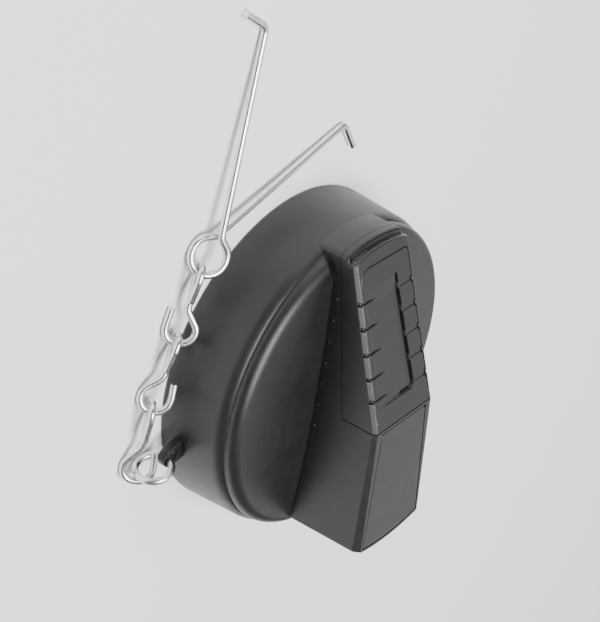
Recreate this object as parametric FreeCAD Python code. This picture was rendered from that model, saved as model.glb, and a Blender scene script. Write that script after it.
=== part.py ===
import FreeCAD, Part
import math
import os

V = FreeCAD.Vector
UP = V(0, 0, 1)
ORIGIN = V(0, 0, 0)

# Cover: skirt, shoulder and crown, as radii and heights above the rim
RIM_R = 57.0
SKIRT_TAPER = 1.4
SKIRT_H = 21.7
VALLEY_DEPTH = 1.0
CROWN_STEP = 1.3
CROWN_FOOT_Z = 24.4
CROWN_ROUND = 3.8
DOME_RISE = 1.6
WALL = 2.6
CEILING_Z = 25.4

# Handle bar along X, seen from above: wide low end at +X, ribbed ramp towards -X
BAR_END_PROUD = 0.4
CREST_X = 1.2
CREST_Z = 53.67
RAMP_SLOPE = 0.342
LOW_END_X = 47.5
END_BOW = 2.4
END_ROUND_R = 76.0
LOW_SLOPE = 0.046
TOP_END_X = -54.7
FLAT_HALF_TOP_END = 12.1
FLAT_HALF_CREST = 14.67
FLAT_HALF_LOW_END = 16.1
BEVEL_TOP_END = 2.0
BEVEL_CREST = 1.3
BEVEL_LOW_END = 2.1
SIDE_DRAFT = 0.035
END_DRAFT = 0.025
BAR_ROOT_Z = 21.2
BAR_SPARE = 8.0
CHANNEL_START_X = -43.0
CHANNEL_W = 3.0
CHANNEL_SLOPE = 0.5
CHANNEL_RISE = 0.6

# Sliding cover over the lock
SLIDE_SLOPE = 0.2
SLIDE_EDGE_Z = 40.4
SLIDE_TRAVEL = 21.0
SIDE_WALL = 2.0
PLATE_T = 2.4
FRONT_WALL = 3.4
FRONT_STEP_X = -54.4
FRONT_STEP_Z = 32.4
RUN_GAP = 0.25
SEAM_GAP = 0.35
LIP_TIP_Y = 10.9
LIP_H = 1.6
LIP_L = 19.0
LIP_CLEAR = 0.25
RIB_PITCH = 8.05
RIB_FIRST_X = -40.2
RIB_COUNT = 5
RIB_W = 0.8
RIB_DEPTH = 0.7
OUTLINE_W = 0.5
OUTLINE_DEPTH = 0.5
OUTLINE_X = -50.4
OUTLINE_INSET = 0.35
OUTLINE_ROUND = 2.6
TROUGH_HALF = 5.0
TROUGH_X0 = -43.3
TROUGH_DEPTH = 0.6
GROOVE_SPARE = 2.5
GROOVE_END = 0.6
LIP_END = 1.0

# Lid of the handle's hollow low end
LID_T = 2.0
LID_GAP = 0.15
LID_LEDGE = 2.4
LID_END_WALL = 1.0
LID_HALF_CREST = 12.1
LID_HALF_LOW_END = 15.45
LID_RIB_H = 1.5
LID_RIB_T = 1.2
HOLLOW_FLOOR_Z = 31.0

# Lock, on an upright axis
LOCK_X = -10.5
WELL_R = 9.2
WELL_FLOOR_Z = 39.4
HEAD_R = 9.0
HEAD_T = 1.6
BARREL_R = 7.2
BARREL_BOTTOM_Z = 20.5
BARREL_FIT = 0.1
PLUG_R = 5.0
PLUG_FIT = 0.05
PLUG_SHOULDER_Z = 21.9
TAIL_R = 2.5
KEYWAY_W = 2.2
KEYWAY_L = 7.0
KEYWAY_BOTTOM_Z = 24.0
WAFER_COUNT = 5
WAFER_PITCH = 2.6
WAFER_FIRST_Z = 26.2
WAFER_T = 1.0
WAFER_W = 5.4
WAFER_L = 7.6
WAFER_FIT = 0.1
WAFER_WINDOW_HALF = 2.6
WAFER_STEP = 0.4
NUT_AF = 18.0
NUT_H = 3.6
CLIP_T = 0.8
CLIP_R = 4.4
CLIP_MOUTH_HALF = 1.6
CLIP_GAP = 0.1
CLIP_FIT = 0.05
CLIP_BITE = 0.5

# Cam and bolt
CAM_PIN_ORBIT = 4.0
CAM_PIN_R = 1.5
CAM_R = 6.4
CAM_T = 2.0
CAM_HUB_R = 4.5
CAM_HUB_H = 4.0
CAM_GAP = 0.6
CAM_TURN_DEG = 90.0
PIN_SLOT_GAP = 0.3
ROLL_PIN_R = 0.75
BOLT_T = 3.0
BOLT_HALF_W = 7.5
BOLT_NOSE_X0 = -13.5
BOLT_NOSE_X1 = -5.5
BOLT_TIP_CLEAR = 0.25
BOLT_TAIL_Y = -7.0
BOLT_SHOULDER_Y = 13.0
BOLT_GAP = 0.1
WINDOW_GAP = 0.25
WINDOW_FROM_Y = 5.0

# Spigot for an 80 mm neck, pressure plate, seal and spring
WING_REACH = 5.4
PLATE_BOTTOM_Z = 1.5
PLATE_THICK = 2.5
WING_CLEAR = 0.7
WING_HALF_DEG = 22.0
STEM_R = 26.0
STEM_WALL = 3.0
FLANGE_R = 33.0
FLANGE_T = 2.8
GASKET_T = 1.0
WEB_Z = 14.2
WEB_T = 2.0
SCREW_CIRCLE_R = 29.5
SCREW_R = 1.5
SCREW_HEAD_R = 2.8
SCREW_HEAD_H = 2.0
SCREW_TOP_Z = 28.0
SCREW_COUNT = 4
SOCKET_R = 1.2
SOCKET_DEPTH = 1.2
SLOT_HALF_L = 2.0
SLOT_HALF_W = 0.4
SLOT_DEPTH = 0.6
BOSS_PLACES = ((17.5, 10.0), (17.5, -10.0), (-12.0, -17.0))
BOSS_R = 3.2
BOSS_SCREW_TOP_Z = 11.0
PRESS_Z = 11.9
PRESS_T = 2.2
PRESS_CLEAR = 1.2
PRESS_LIP_DEPTH = 2.3
PRESS_LIP_T = 1.0
PRESS_HUB_H = 1.5
PRESS_HUB_T = 2.2
PRESS_FIT = 0.3
PRESS_TRAVEL = 3.5
SEAL_W = 6.0
SEAL_H = 3.4
SEAL_FIT = 0.3
STOP_RING_T = 1.0
STOP_RING_REACH = 1.6
STOP_GROOVE = 0.8
STOP_RING_GAP = 0.1
SPRING_R = 37.0
SPRING_WIRE = 1.6
SPRING_TURNS = 3.5
SPRING_SEAT = 0.05

# Vent valve on the web
VENT_X = 12.0
VENT_HOLE_R = 2.5
VENT_DISC_R = 4.5
VENT_DISC_T = 1.2
VENT_TRAVEL = 1.2
VENT_CAGE_R = 6.5
VENT_CAGE_WALL = 1.2
VENT_CAGE_H = 7.3
VENT_SPRING_R = 3.0
VENT_SPRING_WIRE = 0.6
VENT_SPRING_TURNS = 3.0
VENT_PORTS = 3
VENT_PORT_R = 1.2
VENT_PORT_CIRCLE = 5.0

# Eye on the skirt, ring, chain links and wire anchor
EAR_DEG = -79.0
EAR_REACH = 4.3
EAR_HOLE_R = 2.6
EAR_RIM = 0.9
EAR_T = 3.0
EAR_ROOT = 1.3
RING_SEAT_GAP = 0.3
RING_WIRE = 2.3
RING_R = 5.7
LINK_WIRE = 2.2
LINK_CLEAR = 0.3
LINK_OPEN_R = 4.7
LINK_NARROW_R = 3.3
LINK_COUNT = 3
LINK_AXIS_Z = 4.45
LINK_BENDS = ((15.3, -135.9), (8.6, -117.5), (11.0, -97.9))
LINK_FREE_SIDE = (-1, 1, 1)
LINK_FREE_SPREAD = (0.99, 0.86, 0.86)
ANCHOR_WIRE = 2.3
ANCHOR_EYE_R = 5.75
ANCHOR_EYE_SPARE = 0.6
ANCHOR_LEG = 64.5
ANCHOR_HOOK = 12.0
ANCHOR_SPREAD_DEG = 61.0
ANCHOR_MIDDLE_DEG = 135.0
ANCHOR_HOOK_TURN_DEG = 71.0
ANCHOR_EYE_HEADING_DEG = -38.3
ANCHOR_BEND_R = 3.0

# Far limits of the cutting blocks, beyond every surface
TOP_REACH = 80.0
FAR_Y = 30.0
PAST = 1.0

SKIRT_TOP_R = RIM_R - SKIRT_TAPER
CROWN_FOOT_R = SKIRT_TOP_R - CROWN_STEP
BAR_END_R = SKIRT_TOP_R + BAR_END_PROUD
PRESS_R = SKIRT_TOP_R - WALL - PRESS_CLEAR
SEAL_R_OUT = PRESS_R - PRESS_LIP_T - SEAL_FIT
SEAL_R_IN = SEAL_R_OUT - SEAL_W
WING_R = SEAL_R_IN - WING_CLEAR
PLATE_R = WING_R - WING_REACH
STOP_RING_R = STEM_R + STOP_RING_REACH
STOP_RING_Z = PRESS_Z - STOP_RING_T - STOP_RING_GAP
END_BOW_X = LOW_END_X + END_BOW - END_ROUND_R
CLIP_Z = BARREL_BOTTOM_Z - CLIP_T - CLIP_GAP
HUB_TOP_Z = WEB_Z - CAM_GAP
BOLT_TIP_Y = math.sqrt((WING_R - BOLT_TIP_CLEAR) ** 2 - BOLT_NOSE_X0 ** 2)
EAR_HOLE_AT_R = RIM_R + EAR_REACH
RING_CENTRE_R = EAR_HOLE_AT_R + EAR_HOLE_R - RING_SEAT_GAP - RING_WIRE / 2 + RING_R
CROWN_Z = CROWN_FOOT_Z + CROWN_ROUND
CROWN_R = CROWN_FOOT_R - CROWN_ROUND
TOP_Z = CROWN_Z + DOME_RISE


def solid(shape):
    """Return the shape as one clean solid."""
    clean = shape.removeSplitter()
    return clean.Solids[0] if len(clean.Solids) == 1 else clean


def save(name, shape):
    """Write one sub-part and print its volume."""
    shape.exportStep("parts/" + name + ".step")
    print(name, "solids", len(shape.Solids), "volume", round(shape.Volume, 1), "valid", shape.isValid())


def box(x0, x1, y0, y1, z0, z1):
    """Return a box between two corners."""
    return Part.makeBox(x1 - x0, y1 - y0, z1 - z0, V(x0, y0, z0))


def tube(r_out, r_in, z0, z1, x=0.0, y=0.0):
    """Return an upright ring, or a rod where r_in is 0."""
    outer = Part.makeCylinder(r_out, z1 - z0, V(x, y, z0), UP)
    if r_in <= 0:
        return outer
    return outer.cut(Part.makeCylinder(r_in, z1 - z0, V(x, y, z0), UP))


def prism_xz(points, y0, y1):
    """Return the polygon of (x, z) points carried from y0 to y1."""
    corners = [V(x, y0, z) for x, z in points]
    wire = Part.makePolygon(corners + corners[:1])
    return Part.Face(wire).extrude(V(0, y1 - y0, 0))


def revolved(edges):
    """Return the solid of a closed outline in the XZ plane turned about Z."""
    return Part.Face(Part.Wire(edges)).revolve(ORIGIN, UP, 360)


def outline(points):
    """Return the edges of a closed XZ outline; a point of three pairs is an arc through the second."""
    edges = []
    for here, there in zip(points, points[1:] + points[:1]):
        start = V(here[0], 0, here[1])
        end = V(there[0], 0, there[1])
        if len(there) == 4:
            edges.append(Part.Arc(start, V(there[2], 0, there[3]), end).toShape())
        else:
            edges.append(Part.LineSegment(start, end).toShape())
    return edges


def bent_path(points, radii):
    """Return a wire of straight runs joined by tangent arcs, one radius for each inner point."""
    edges = []
    start = points[0]
    for before, corner, after, radius in zip(points, points[1:], points[2:], radii):
        back = (before - corner).normalize()
        ahead = (after - corner).normalize()
        half_turn = (math.pi - back.getAngle(ahead)) / 2
        reach = radius * math.tan(half_turn)
        into = corner + back * reach
        out = corner + ahead * reach
        inward = (back + ahead).normalize()
        middle = corner + inward * (radius / math.cos(half_turn) - radius)
        if (into - start).Length > 0.01:
            edges.append(Part.LineSegment(start, into).toShape())
        edges.append(Part.Arc(into, middle, out).toShape())
        start = out
    edges.append(Part.LineSegment(start, points[-1]).toShape())
    return Part.Wire(edges)


def round_wire(path, diameter):
    """Return the round wire that follows a path, checked against section times length."""
    first = path.Edges[0]
    begin = first.valueAt(first.FirstParameter)
    heading = first.tangentAt(first.FirstParameter)
    profile = Part.Wire([Part.Circle(begin, heading, diameter / 2).toShape()])
    body = path.makePipeShell([profile], True, False)
    expected = math.pi * diameter ** 2 / 4 * path.Length
    share = round(body.Volume / expected, 4)
    print("wire length", round(path.Length, 1), "volume over section times length", share)
    return body


def arc_from_tangent(start, heading, end):
    """Return the arc that leaves start along heading and reaches end."""
    chord = end - start
    lean = heading.getAngle(chord)
    foot = start + chord * 0.5
    apex = start + heading * (chord.Length / 2 / math.cos(lean))
    middle = foot + (apex - foot) * (math.tan(lean / 2) / math.tan(lean))
    return Part.Arc(start, middle, end).toShape()


def biarc(start, start_heading, end, end_heading):
    """Return two arcs that join two points and keep both headings."""
    span = end - start
    both = start_heading + end_heading
    closeness = 2 * (1 - start_heading.dot(end_heading))
    lead = (-span.dot(both) + math.sqrt(span.dot(both) ** 2 + closeness * span.dot(span))) / closeness
    joint = (start + end + (start_heading - end_heading) * lead) * 0.5
    first = arc_from_tangent(start, start_heading, joint)
    second = arc_from_tangent(end, end_heading * -1, joint)
    return [first, second]


def coil(name, radius, wire, turns, z_low, z_high, x=0.0, y=0.0):
    """Return an open coil spring of one unbroken wire between two seats."""
    quarters = int(round(turns * 4))
    rise = (z_high - z_low - wire) / quarters
    step = math.pi / 2
    climb = rise / step
    edges = []
    for quarter in range(quarters):
        ends = []
        for angle in (quarter * step, (quarter + 1) * step):
            height = z_low + wire / 2 + climb * angle
            place = V(x + radius * math.cos(angle), y + radius * math.sin(angle), height)
            heading = V(-radius * math.sin(angle), radius * math.cos(angle), climb).normalize()
            ends.append((place, heading))
        edges += biarc(ends[0][0], ends[0][1], ends[1][0], ends[1][1])
    print(name, "least gap to itself", round(4 * rise - wire, 2))
    return round_wire(Part.Wire(edges), wire)


def ramp_z(x):
    """Height of the ribbed ramp's top."""
    return CREST_Z + RAMP_SLOPE * (x - CREST_X)


def low_z(x):
    """Height of the low end's top."""
    return CREST_Z + LOW_SLOPE * (x - CREST_X)


def ramp_flat_half(x):
    """Half the width of the ramp's flat top."""
    share = (x - TOP_END_X) / (CREST_X - TOP_END_X)
    return FLAT_HALF_TOP_END + share * (FLAT_HALF_CREST - FLAT_HALF_TOP_END)


def ramp_bevel(x):
    """Width of the bevel beside the ramp's flat top."""
    share = (x - TOP_END_X) / (CREST_X - TOP_END_X)
    return BEVEL_TOP_END + share * (BEVEL_CREST - BEVEL_TOP_END)


def low_flat_half(x):
    """Half the width of the low end's flat top."""
    share = (x - CREST_X) / (LOW_END_X - CREST_X)
    return FLAT_HALF_CREST + share * (FLAT_HALF_LOW_END - FLAT_HALF_CREST)


def low_bevel(x):
    """Width of the bevel beside the low end's flat top."""
    share = (x - CREST_X) / (LOW_END_X - CREST_X)
    return BEVEL_CREST + share * (BEVEL_LOW_END - BEVEL_CREST)


def lid_half(x):
    """Half the width of the low end's lid seat."""
    share = (x - CREST_X) / (LOW_END_X - CREST_X)
    return LID_HALF_CREST + share * (LID_HALF_LOW_END - LID_HALF_CREST)


def slide_edge_z(x):
    """Height of the sliding cover's lower edge, which runs along its travel."""
    return SLIDE_EDGE_Z + SLIDE_SLOPE * (x - CREST_X)


def bar_section(x, flat, bevel, top):
    """Return the bar's outline across X."""
    side = flat + bevel
    root = side + SIDE_DRAFT * (top - bevel - BAR_ROOT_Z)
    half = [(root, BAR_ROOT_Z), (side, top - bevel), (flat, top)]
    corners = [V(x, -y, z) for y, z in half] + [V(x, y, z) for y, z in reversed(half)]
    return Part.makePolygon(corners + corners[:1])


def bar_block(inset_side, inset_top, inset_end):
    """Return a plain block under the ramp, smaller than the bar by the three insets."""
    sections = []
    for x in (TOP_END_X - BAR_SPARE, CREST_X):
        half = ramp_flat_half(x) + ramp_bevel(x) - inset_side
        top = ramp_z(x) - inset_top
        corners = [V(x, -half, BAR_ROOT_Z), V(x, -half, top), V(x, half, top), V(x, half, BAR_ROOT_Z)]
        sections.append(Part.makePolygon(corners + corners[:1]))
    block = Part.makeLoft(sections, True, True)
    return block.common(Part.makeCylinder(BAR_END_R - inset_end, TOP_REACH, ORIGIN, UP))


def make_bar():
    """Return the handle bar's full outer form."""
    far = LOW_END_X + BAR_SPARE
    near = TOP_END_X - BAR_SPARE
    ramp_end = bar_section(near, ramp_flat_half(near), ramp_bevel(near), ramp_z(near))
    crest = bar_section(CREST_X, FLAT_HALF_CREST, BEVEL_CREST, CREST_Z)
    low_end = bar_section(far, low_flat_half(far), low_bevel(far), low_z(far))
    ramp = Part.makeLoft([ramp_end, crest], True, True)
    low = Part.makeLoft([crest, low_end], True, True)
    bar = ramp.fuse(low).removeSplitter()
    foot_r = END_ROUND_R + END_DRAFT * (low_z(LOW_END_X) - BAR_ROOT_Z)
    top_r = END_ROUND_R - END_DRAFT * (TOP_REACH - low_z(LOW_END_X))
    bowed = Part.makeCone(foot_r, top_r, TOP_REACH - BAR_ROOT_Z, V(END_BOW_X, 0, BAR_ROOT_Z), UP)
    ramp_reach = box(-RIM_R, END_BOW_X, -FAR_Y, FAR_Y, BAR_ROOT_Z, TOP_REACH)
    bar = bar.common(bowed.fuse(ramp_reach))
    return bar.common(Part.makeCylinder(BAR_END_R, TOP_REACH, ORIGIN, UP))


def slide_region(edge_gap, seam_gap):
    """Return the region above the sliding cover's lower edge and on the ramp's side of the seam."""
    seam_x = CREST_X - seam_gap
    left = TOP_END_X - 2 * BAR_SPARE
    points = [(left, slide_edge_z(left) + edge_gap), (seam_x, slide_edge_z(seam_x) + edge_gap),
              (seam_x, TOP_REACH), (left, TOP_REACH)]
    return prism_xz(points, -FAR_Y, FAR_Y)


def lip_band(x0, x1, rise0, rise1, y0, y1):
    """Return a band along the sliding cover's lower edge, on both sides."""
    points = [(x0, slide_edge_z(x0) + rise0), (x1, slide_edge_z(x1) + rise0),
              (x1, slide_edge_z(x1) + rise1), (x0, slide_edge_z(x0) + rise1)]
    return prism_xz(points, y0, y1).fuse(prism_xz(points, -y1, -y0))


def ramp_cut(x0, x1, y0, y1, depth):
    """Return a cutter that follows the ramp's top to a depth."""
    points = [(x0, ramp_z(x0) + 2), (x1, ramp_z(x1) + 2), (x1, ramp_z(x1) - depth), (x0, ramp_z(x0) - depth)]
    return prism_xz(points, y0, y1)


def make_revolved_cover():
    """Return the skirt, shoulder and dome with the cavity for the neck."""
    valley_r = (SKIRT_TOP_R + CROWN_FOOT_R) / 2 - VALLEY_DEPTH
    valley_z = (SKIRT_H + CROWN_FOOT_Z) / 2
    round_r = CROWN_R + CROWN_ROUND * math.sin(math.pi / 4)
    round_z = CROWN_FOOT_Z + CROWN_ROUND * math.sin(math.pi / 4)
    outside = outline([(0, 0), (RIM_R, 0), (SKIRT_TOP_R, SKIRT_H),
                       (CROWN_FOOT_R, CROWN_FOOT_Z, valley_r, valley_z),
                       (CROWN_R, CROWN_Z, round_r, round_z),
                       (0, TOP_Z, CROWN_R / 2, CROWN_Z + DOME_RISE * 0.75)])
    inner_r = RIM_R - WALL
    inner_top_r = SKIRT_TOP_R - WALL
    inside = outline([(0, -1), (inner_r, -1), (inner_r, 0), (inner_top_r, SKIRT_H),
                      (CROWN_R - WALL / 2, CEILING_Z), (0, CEILING_Z)])
    return revolved(outside), revolved(inside)


def skirt_r(z):
    """Outer radius of the skirt at a height."""
    return RIM_R - SKIRT_TAPER * z / SKIRT_H


def make_ear():
    """Return the eye on the skirt that holds the ring, and its hole."""
    tip_r = EAR_HOLE_R + EAR_RIM
    low = RING_R + RING_WIRE / 2 - EAR_T / 2
    arm = box(skirt_r(low + EAR_T) - EAR_ROOT, EAR_HOLE_AT_R, -tip_r, tip_r, low, low + EAR_T)
    tip = tube(tip_r, 0, low, low + EAR_T, EAR_HOLE_AT_R)
    hole = tube(EAR_HOLE_R, 0, low - 1, low + EAR_T + 1, EAR_HOLE_AT_R)
    ear = arm.fuse(tip)
    for shape in (ear, hole):
        shape.rotate(ORIGIN, UP, EAR_DEG)
    return ear, hole


def screw_places():
    """Return the places of the screws that hold the flange."""
    step = 360 / SCREW_COUNT
    angles = [math.radians(step * (index + 0.5)) for index in range(SCREW_COUNT)]
    return [(SCREW_CIRCLE_R * math.cos(angle), SCREW_CIRCLE_R * math.sin(angle)) for angle in angles]


def lid_prism(inset, z_shift, z_up):
    """Return a block under the low end's top plane; inset shrinks it all round."""
    x0 = CREST_X + LID_END_WALL + inset
    x1 = LOW_END_X + END_BOW
    sections = []
    for x in (x0, x1):
        half = lid_half(x) - inset
        top = low_z(x) + z_up
        bottom = low_z(x) - z_shift
        corners = [V(x, -half, bottom), V(x, half, bottom), V(x, half, top), V(x, -half, top)]
        sections.append(Part.makePolygon(corners + corners[:1]))
    bow_r = END_ROUND_R - LID_END_WALL - inset
    bow = Part.makeCylinder(bow_r, TOP_REACH, V(END_BOW_X, 0, 0), UP)
    return Part.makeLoft(sections, True, True).common(bow)


def make_handle_lid():
    """Return the lid of the handle's low end, with its locating rib."""
    plate = lid_prism(LID_GAP, LID_T, 0)
    rib = lid_prism(LID_LEDGE + LID_GAP, LID_T + LID_RIB_H, -LID_T)
    hollow = lid_prism(LID_LEDGE + LID_GAP + LID_RIB_T, LID_T + LID_RIB_H + PAST, -LID_T)
    return solid(plate.fuse(rib.cut(hollow)))


def make_cover_shell(bar):
    """Return the moulded cover: skirt, dome, handle body, eye and screw holes."""
    outer, cavity = make_revolved_cover()
    for side in (-1, 1):
        root = ramp_flat_half(CHANNEL_START_X) + ramp_bevel(CHANNEL_START_X)
        y0, y1 = sorted((side * (root - CHANNEL_W), side * (root + CHANNEL_W)))
        end_x = -RIM_R - PAST
        start_z = CROWN_Z + CHANNEL_RISE
        end_z = start_z - CHANNEL_SLOPE * (CHANNEL_START_X - end_x)
        points = [(CHANNEL_START_X, start_z), (end_x, end_z), (end_x, TOP_REACH),
                  (CHANNEL_START_X, TOP_REACH)]
        outer = outer.cut(prism_xz(points, y0, y1))
    tenon = bar_block(SIDE_WALL + RUN_GAP, PLATE_T + RUN_GAP, FRONT_WALL + RUN_GAP)
    groove_x0 = CREST_X - LIP_L - SLIDE_TRAVEL - GROOVE_SPARE
    groove_h = LIP_H + 2 * LIP_CLEAR
    groove = lip_band(groove_x0, CREST_X - GROOVE_END, 0, groove_h, LIP_TIP_Y - LIP_CLEAR, FAR_Y)
    body = bar.cut(slide_region(0, 0).cut(tenon)).cut(groove)
    body = body.cut(lid_prism(0, LID_T, LID_T))
    floor = lid_prism(LID_LEDGE, low_z(LOW_END_X) - HOLLOW_FLOOR_Z, 0)
    body = body.cut(floor.common(box(CREST_X, RIM_R, -FAR_Y, FAR_Y, HOLLOW_FLOOR_Z, TOP_REACH)))
    ear, ear_hole = make_ear()
    cover = outer.fuse([body, ear]).cut(cavity).cut(ear_hole)
    cover = cover.cut(tube(WELL_R, 0, WELL_FLOOR_Z, TOP_REACH, LOCK_X))
    cover = cover.cut(tube(BARREL_R + BARREL_FIT, 0, CEILING_Z - 1, TOP_REACH, LOCK_X))
    for x, y in screw_places():
        cover = cover.cut(tube(SCREW_R, 0, CEILING_Z - 1, SCREW_TOP_Z, x, y))
    return solid(cover)


def make_outline_groove():
    """Return the cutter of the thin line round the thumb pad: down both sides and across the top end."""
    cutters = []
    across = ramp_flat_half(OUTLINE_X) - OUTLINE_INSET - OUTLINE_ROUND
    cutters.append(ramp_cut(OUTLINE_X, OUTLINE_X + OUTLINE_W, -across, across, OUTLINE_DEPTH))
    for side in (-1, 1):
        x0 = OUTLINE_X + OUTLINE_ROUND
        y0 = side * (ramp_flat_half(x0) - OUTLINE_INSET)
        y1 = side * (ramp_flat_half(CREST_X) - OUTLINE_INSET)
        inner = -side * OUTLINE_W
        corners = [(x0, y0), (CREST_X, y1), (CREST_X, y1 + inner), (x0, y0 + inner)]
        wire = Part.makePolygon([V(x, y, ramp_z(x) - OUTLINE_DEPTH) for x, y in corners + corners[:1]])
        cutters.append(Part.Face(wire).extrude(V(0, 0, 3)))
        turn_y = side * across
        ring = tube(OUTLINE_ROUND, OUTLINE_ROUND - OUTLINE_W, 0, TOP_REACH, x0, turn_y)
        low, high = sorted((turn_y, turn_y + side * 2 * OUTLINE_ROUND))
        corner = box(x0 - 2 * OUTLINE_ROUND, x0, low, high, 0, TOP_REACH)
        cutters.append(ring.common(corner).common(ramp_cut(x0 - 4, x0 + 1, low, high, OUTLINE_DEPTH)))
    return cutters


def make_slide_cover(bar):
    """Return the ribbed sliding cover with its side walls, inward lips and thumb pad."""
    shell = bar.common(slide_region(SEAM_GAP, SEAM_GAP))
    hollow = bar_block(SIDE_WALL, PLATE_T, FRONT_WALL)
    end_x = CREST_X - SEAM_GAP
    lips = lip_band(end_x - LIP_L, end_x - LIP_END, SEAM_GAP, LIP_CLEAR + LIP_H, LIP_TIP_Y, FAR_Y)
    shell = shell.cut(hollow).fuse(lips.common(bar).common(slide_region(SEAM_GAP, SEAM_GAP)))
    shell = shell.cut(box(-RIM_R, FRONT_STEP_X, -FAR_Y, FAR_Y, FRONT_STEP_Z, TOP_REACH))
    cutters = make_outline_groove()
    last_x = RIB_FIRST_X + RIB_PITCH * (RIB_COUNT - 1)
    cutters.append(ramp_cut(TROUGH_X0, last_x, -TROUGH_HALF, TROUGH_HALF, TROUGH_DEPTH))
    for index in range(RIB_COUNT):
        x = RIB_FIRST_X + index * RIB_PITCH
        if index == RIB_COUNT - 1:
            cutters.append(ramp_cut(x, x + RIB_W, -FAR_Y, FAR_Y, RIB_DEPTH))
        else:
            cutters.append(ramp_cut(x, x + RIB_W, -FAR_Y, -TROUGH_HALF, RIB_DEPTH))
            cutters.append(ramp_cut(x, x + RIB_W, TROUGH_HALF, FAR_Y, RIB_DEPTH))
    return solid(shell.cut(cutters))


def make_lock_housing():
    """Return the lock's barrel with its head on the well's floor."""
    top = WELL_FLOOR_Z + HEAD_T
    barrel = tube(BARREL_R, 0, BARREL_BOTTOM_Z, top, LOCK_X)
    head = tube(HEAD_R, 0, WELL_FLOOR_Z, top, LOCK_X)
    bore = tube(PLUG_R + PLUG_FIT, 0, PLUG_SHOULDER_Z, top + 1, LOCK_X)
    tail_bore = tube(TAIL_R + PLUG_FIT, 0, BARREL_BOTTOM_Z - 1, PLUG_SHOULDER_Z + 1, LOCK_X)
    return solid(barrel.fuse(head).cut(bore).cut(tail_bore))


def wafer_heights():
    """Return the heights of the wafers' undersides."""
    return [WAFER_FIRST_Z + index * WAFER_PITCH for index in range(WAFER_COUNT)]


def cross_rod(length):
    """Return the rod across the tail, through the middle of the cam's hub."""
    z = HUB_TOP_Z - CAM_HUB_H / 2
    return Part.makeCylinder(ROLL_PIN_R, length, V(LOCK_X - length / 2, 0, z), V(1, 0, 0))


def make_lock_plug():
    """Return the plug with its keyway, wafer slots, clip groove and tail."""
    top = WELL_FLOOR_Z + HEAD_T
    plug = tube(PLUG_R, 0, PLUG_SHOULDER_Z + 0.05, top, LOCK_X)
    plug = plug.fuse(tube(TAIL_R, 0, HUB_TOP_Z - CAM_HUB_H, PLUG_SHOULDER_Z + 1, LOCK_X))
    half_w = KEYWAY_W / 2
    half_l = KEYWAY_L / 2
    plug = plug.cut(box(LOCK_X - half_w, LOCK_X + half_w, -half_l, half_l, KEYWAY_BOTTOM_Z, TOP_REACH))
    half_w = WAFER_W / 2 + WAFER_FIT
    half_l = WAFER_L / 2 + WAFER_FIT
    for z in wafer_heights():
        z_top = z + WAFER_T + WAFER_FIT
        plug = plug.cut(box(LOCK_X - half_w, LOCK_X + half_w, -half_l, half_l, z - WAFER_FIT, z_top))
    groove = tube(TAIL_R + PAST, TAIL_R - CLIP_BITE, CLIP_Z - CLIP_FIT, CLIP_Z + CLIP_T + CLIP_FIT, LOCK_X)
    return solid(plug.cut(groove).cut(cross_rod(2 * CAM_HUB_R)))


def make_lock_wafers():
    """Return the wafers, each with the window that the key passes through."""
    wafers = []
    for index, z in enumerate(wafer_heights()):
        wafer = box(LOCK_X - WAFER_W / 2, LOCK_X + WAFER_W / 2, -WAFER_L / 2, WAFER_L / 2, z, z + WAFER_T)
        step = WAFER_STEP * (index % 3 - 1)
        window = box(LOCK_X - KEYWAY_W / 2, LOCK_X + KEYWAY_W / 2, step - WAFER_WINDOW_HALF,
                     step + WAFER_WINDOW_HALF, z - PAST, z + WAFER_T + PAST)
        wafers.append(wafer.cut(window))
    return Part.makeCompound(wafers)


def make_lock_nut():
    """Return the hexagon nut that holds the barrel under the cover's ceiling."""
    radius = NUT_AF / math.sqrt(3)
    angles = [math.radians(60 * k) for k in range(6)]
    corners = [V(LOCK_X + radius * math.cos(a), radius * math.sin(a), CEILING_Z - NUT_H) for a in angles]
    nut = Part.Face(Part.makePolygon(corners + corners[:1])).extrude(V(0, 0, NUT_H))
    return nut.cut(tube(BARREL_R, 0, CEILING_Z - NUT_H - 1, CEILING_Z + 1, LOCK_X))


def make_plug_clip():
    """Return the E-clip on the plug's tail under the barrel."""
    clip = tube(CLIP_R, TAIL_R - CLIP_BITE + CLIP_FIT, CLIP_Z, CLIP_Z + CLIP_T, LOCK_X)
    mouth = box(LOCK_X, LOCK_X + CLIP_R + PAST, -CLIP_MOUTH_HALF, CLIP_MOUTH_HALF, CLIP_Z - PAST, CEILING_Z)
    return solid(clip.cut(mouth))


def make_lock_cam():
    """Return the cam with its hub on the tail and its drive pin down in the bolt's slot."""
    hub_low = HUB_TOP_Z - CAM_HUB_H
    angle = math.radians(CAM_TURN_DEG / 2)
    pin_x = LOCK_X + CAM_PIN_ORBIT * math.cos(angle)
    pin_y = CAM_PIN_ORBIT * math.sin(angle)
    pin_low = PLATE_BOTTOM_Z + PLATE_THICK + 2 * BOLT_GAP
    hub = tube(CAM_HUB_R, TAIL_R, hub_low, HUB_TOP_Z, LOCK_X)
    disc = tube(CAM_R, 0, hub_low - CAM_T, hub_low, LOCK_X)
    pin = tube(CAM_PIN_R, 0, pin_low, hub_low, pin_x, pin_y)
    return solid(hub.fuse([disc, pin]).cut(cross_rod(4 * CAM_HUB_R)))


def make_cam_pin():
    """Return the roll pin through the cam's hub and the tail."""
    return cross_rod(2 * CAM_HUB_R)


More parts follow.
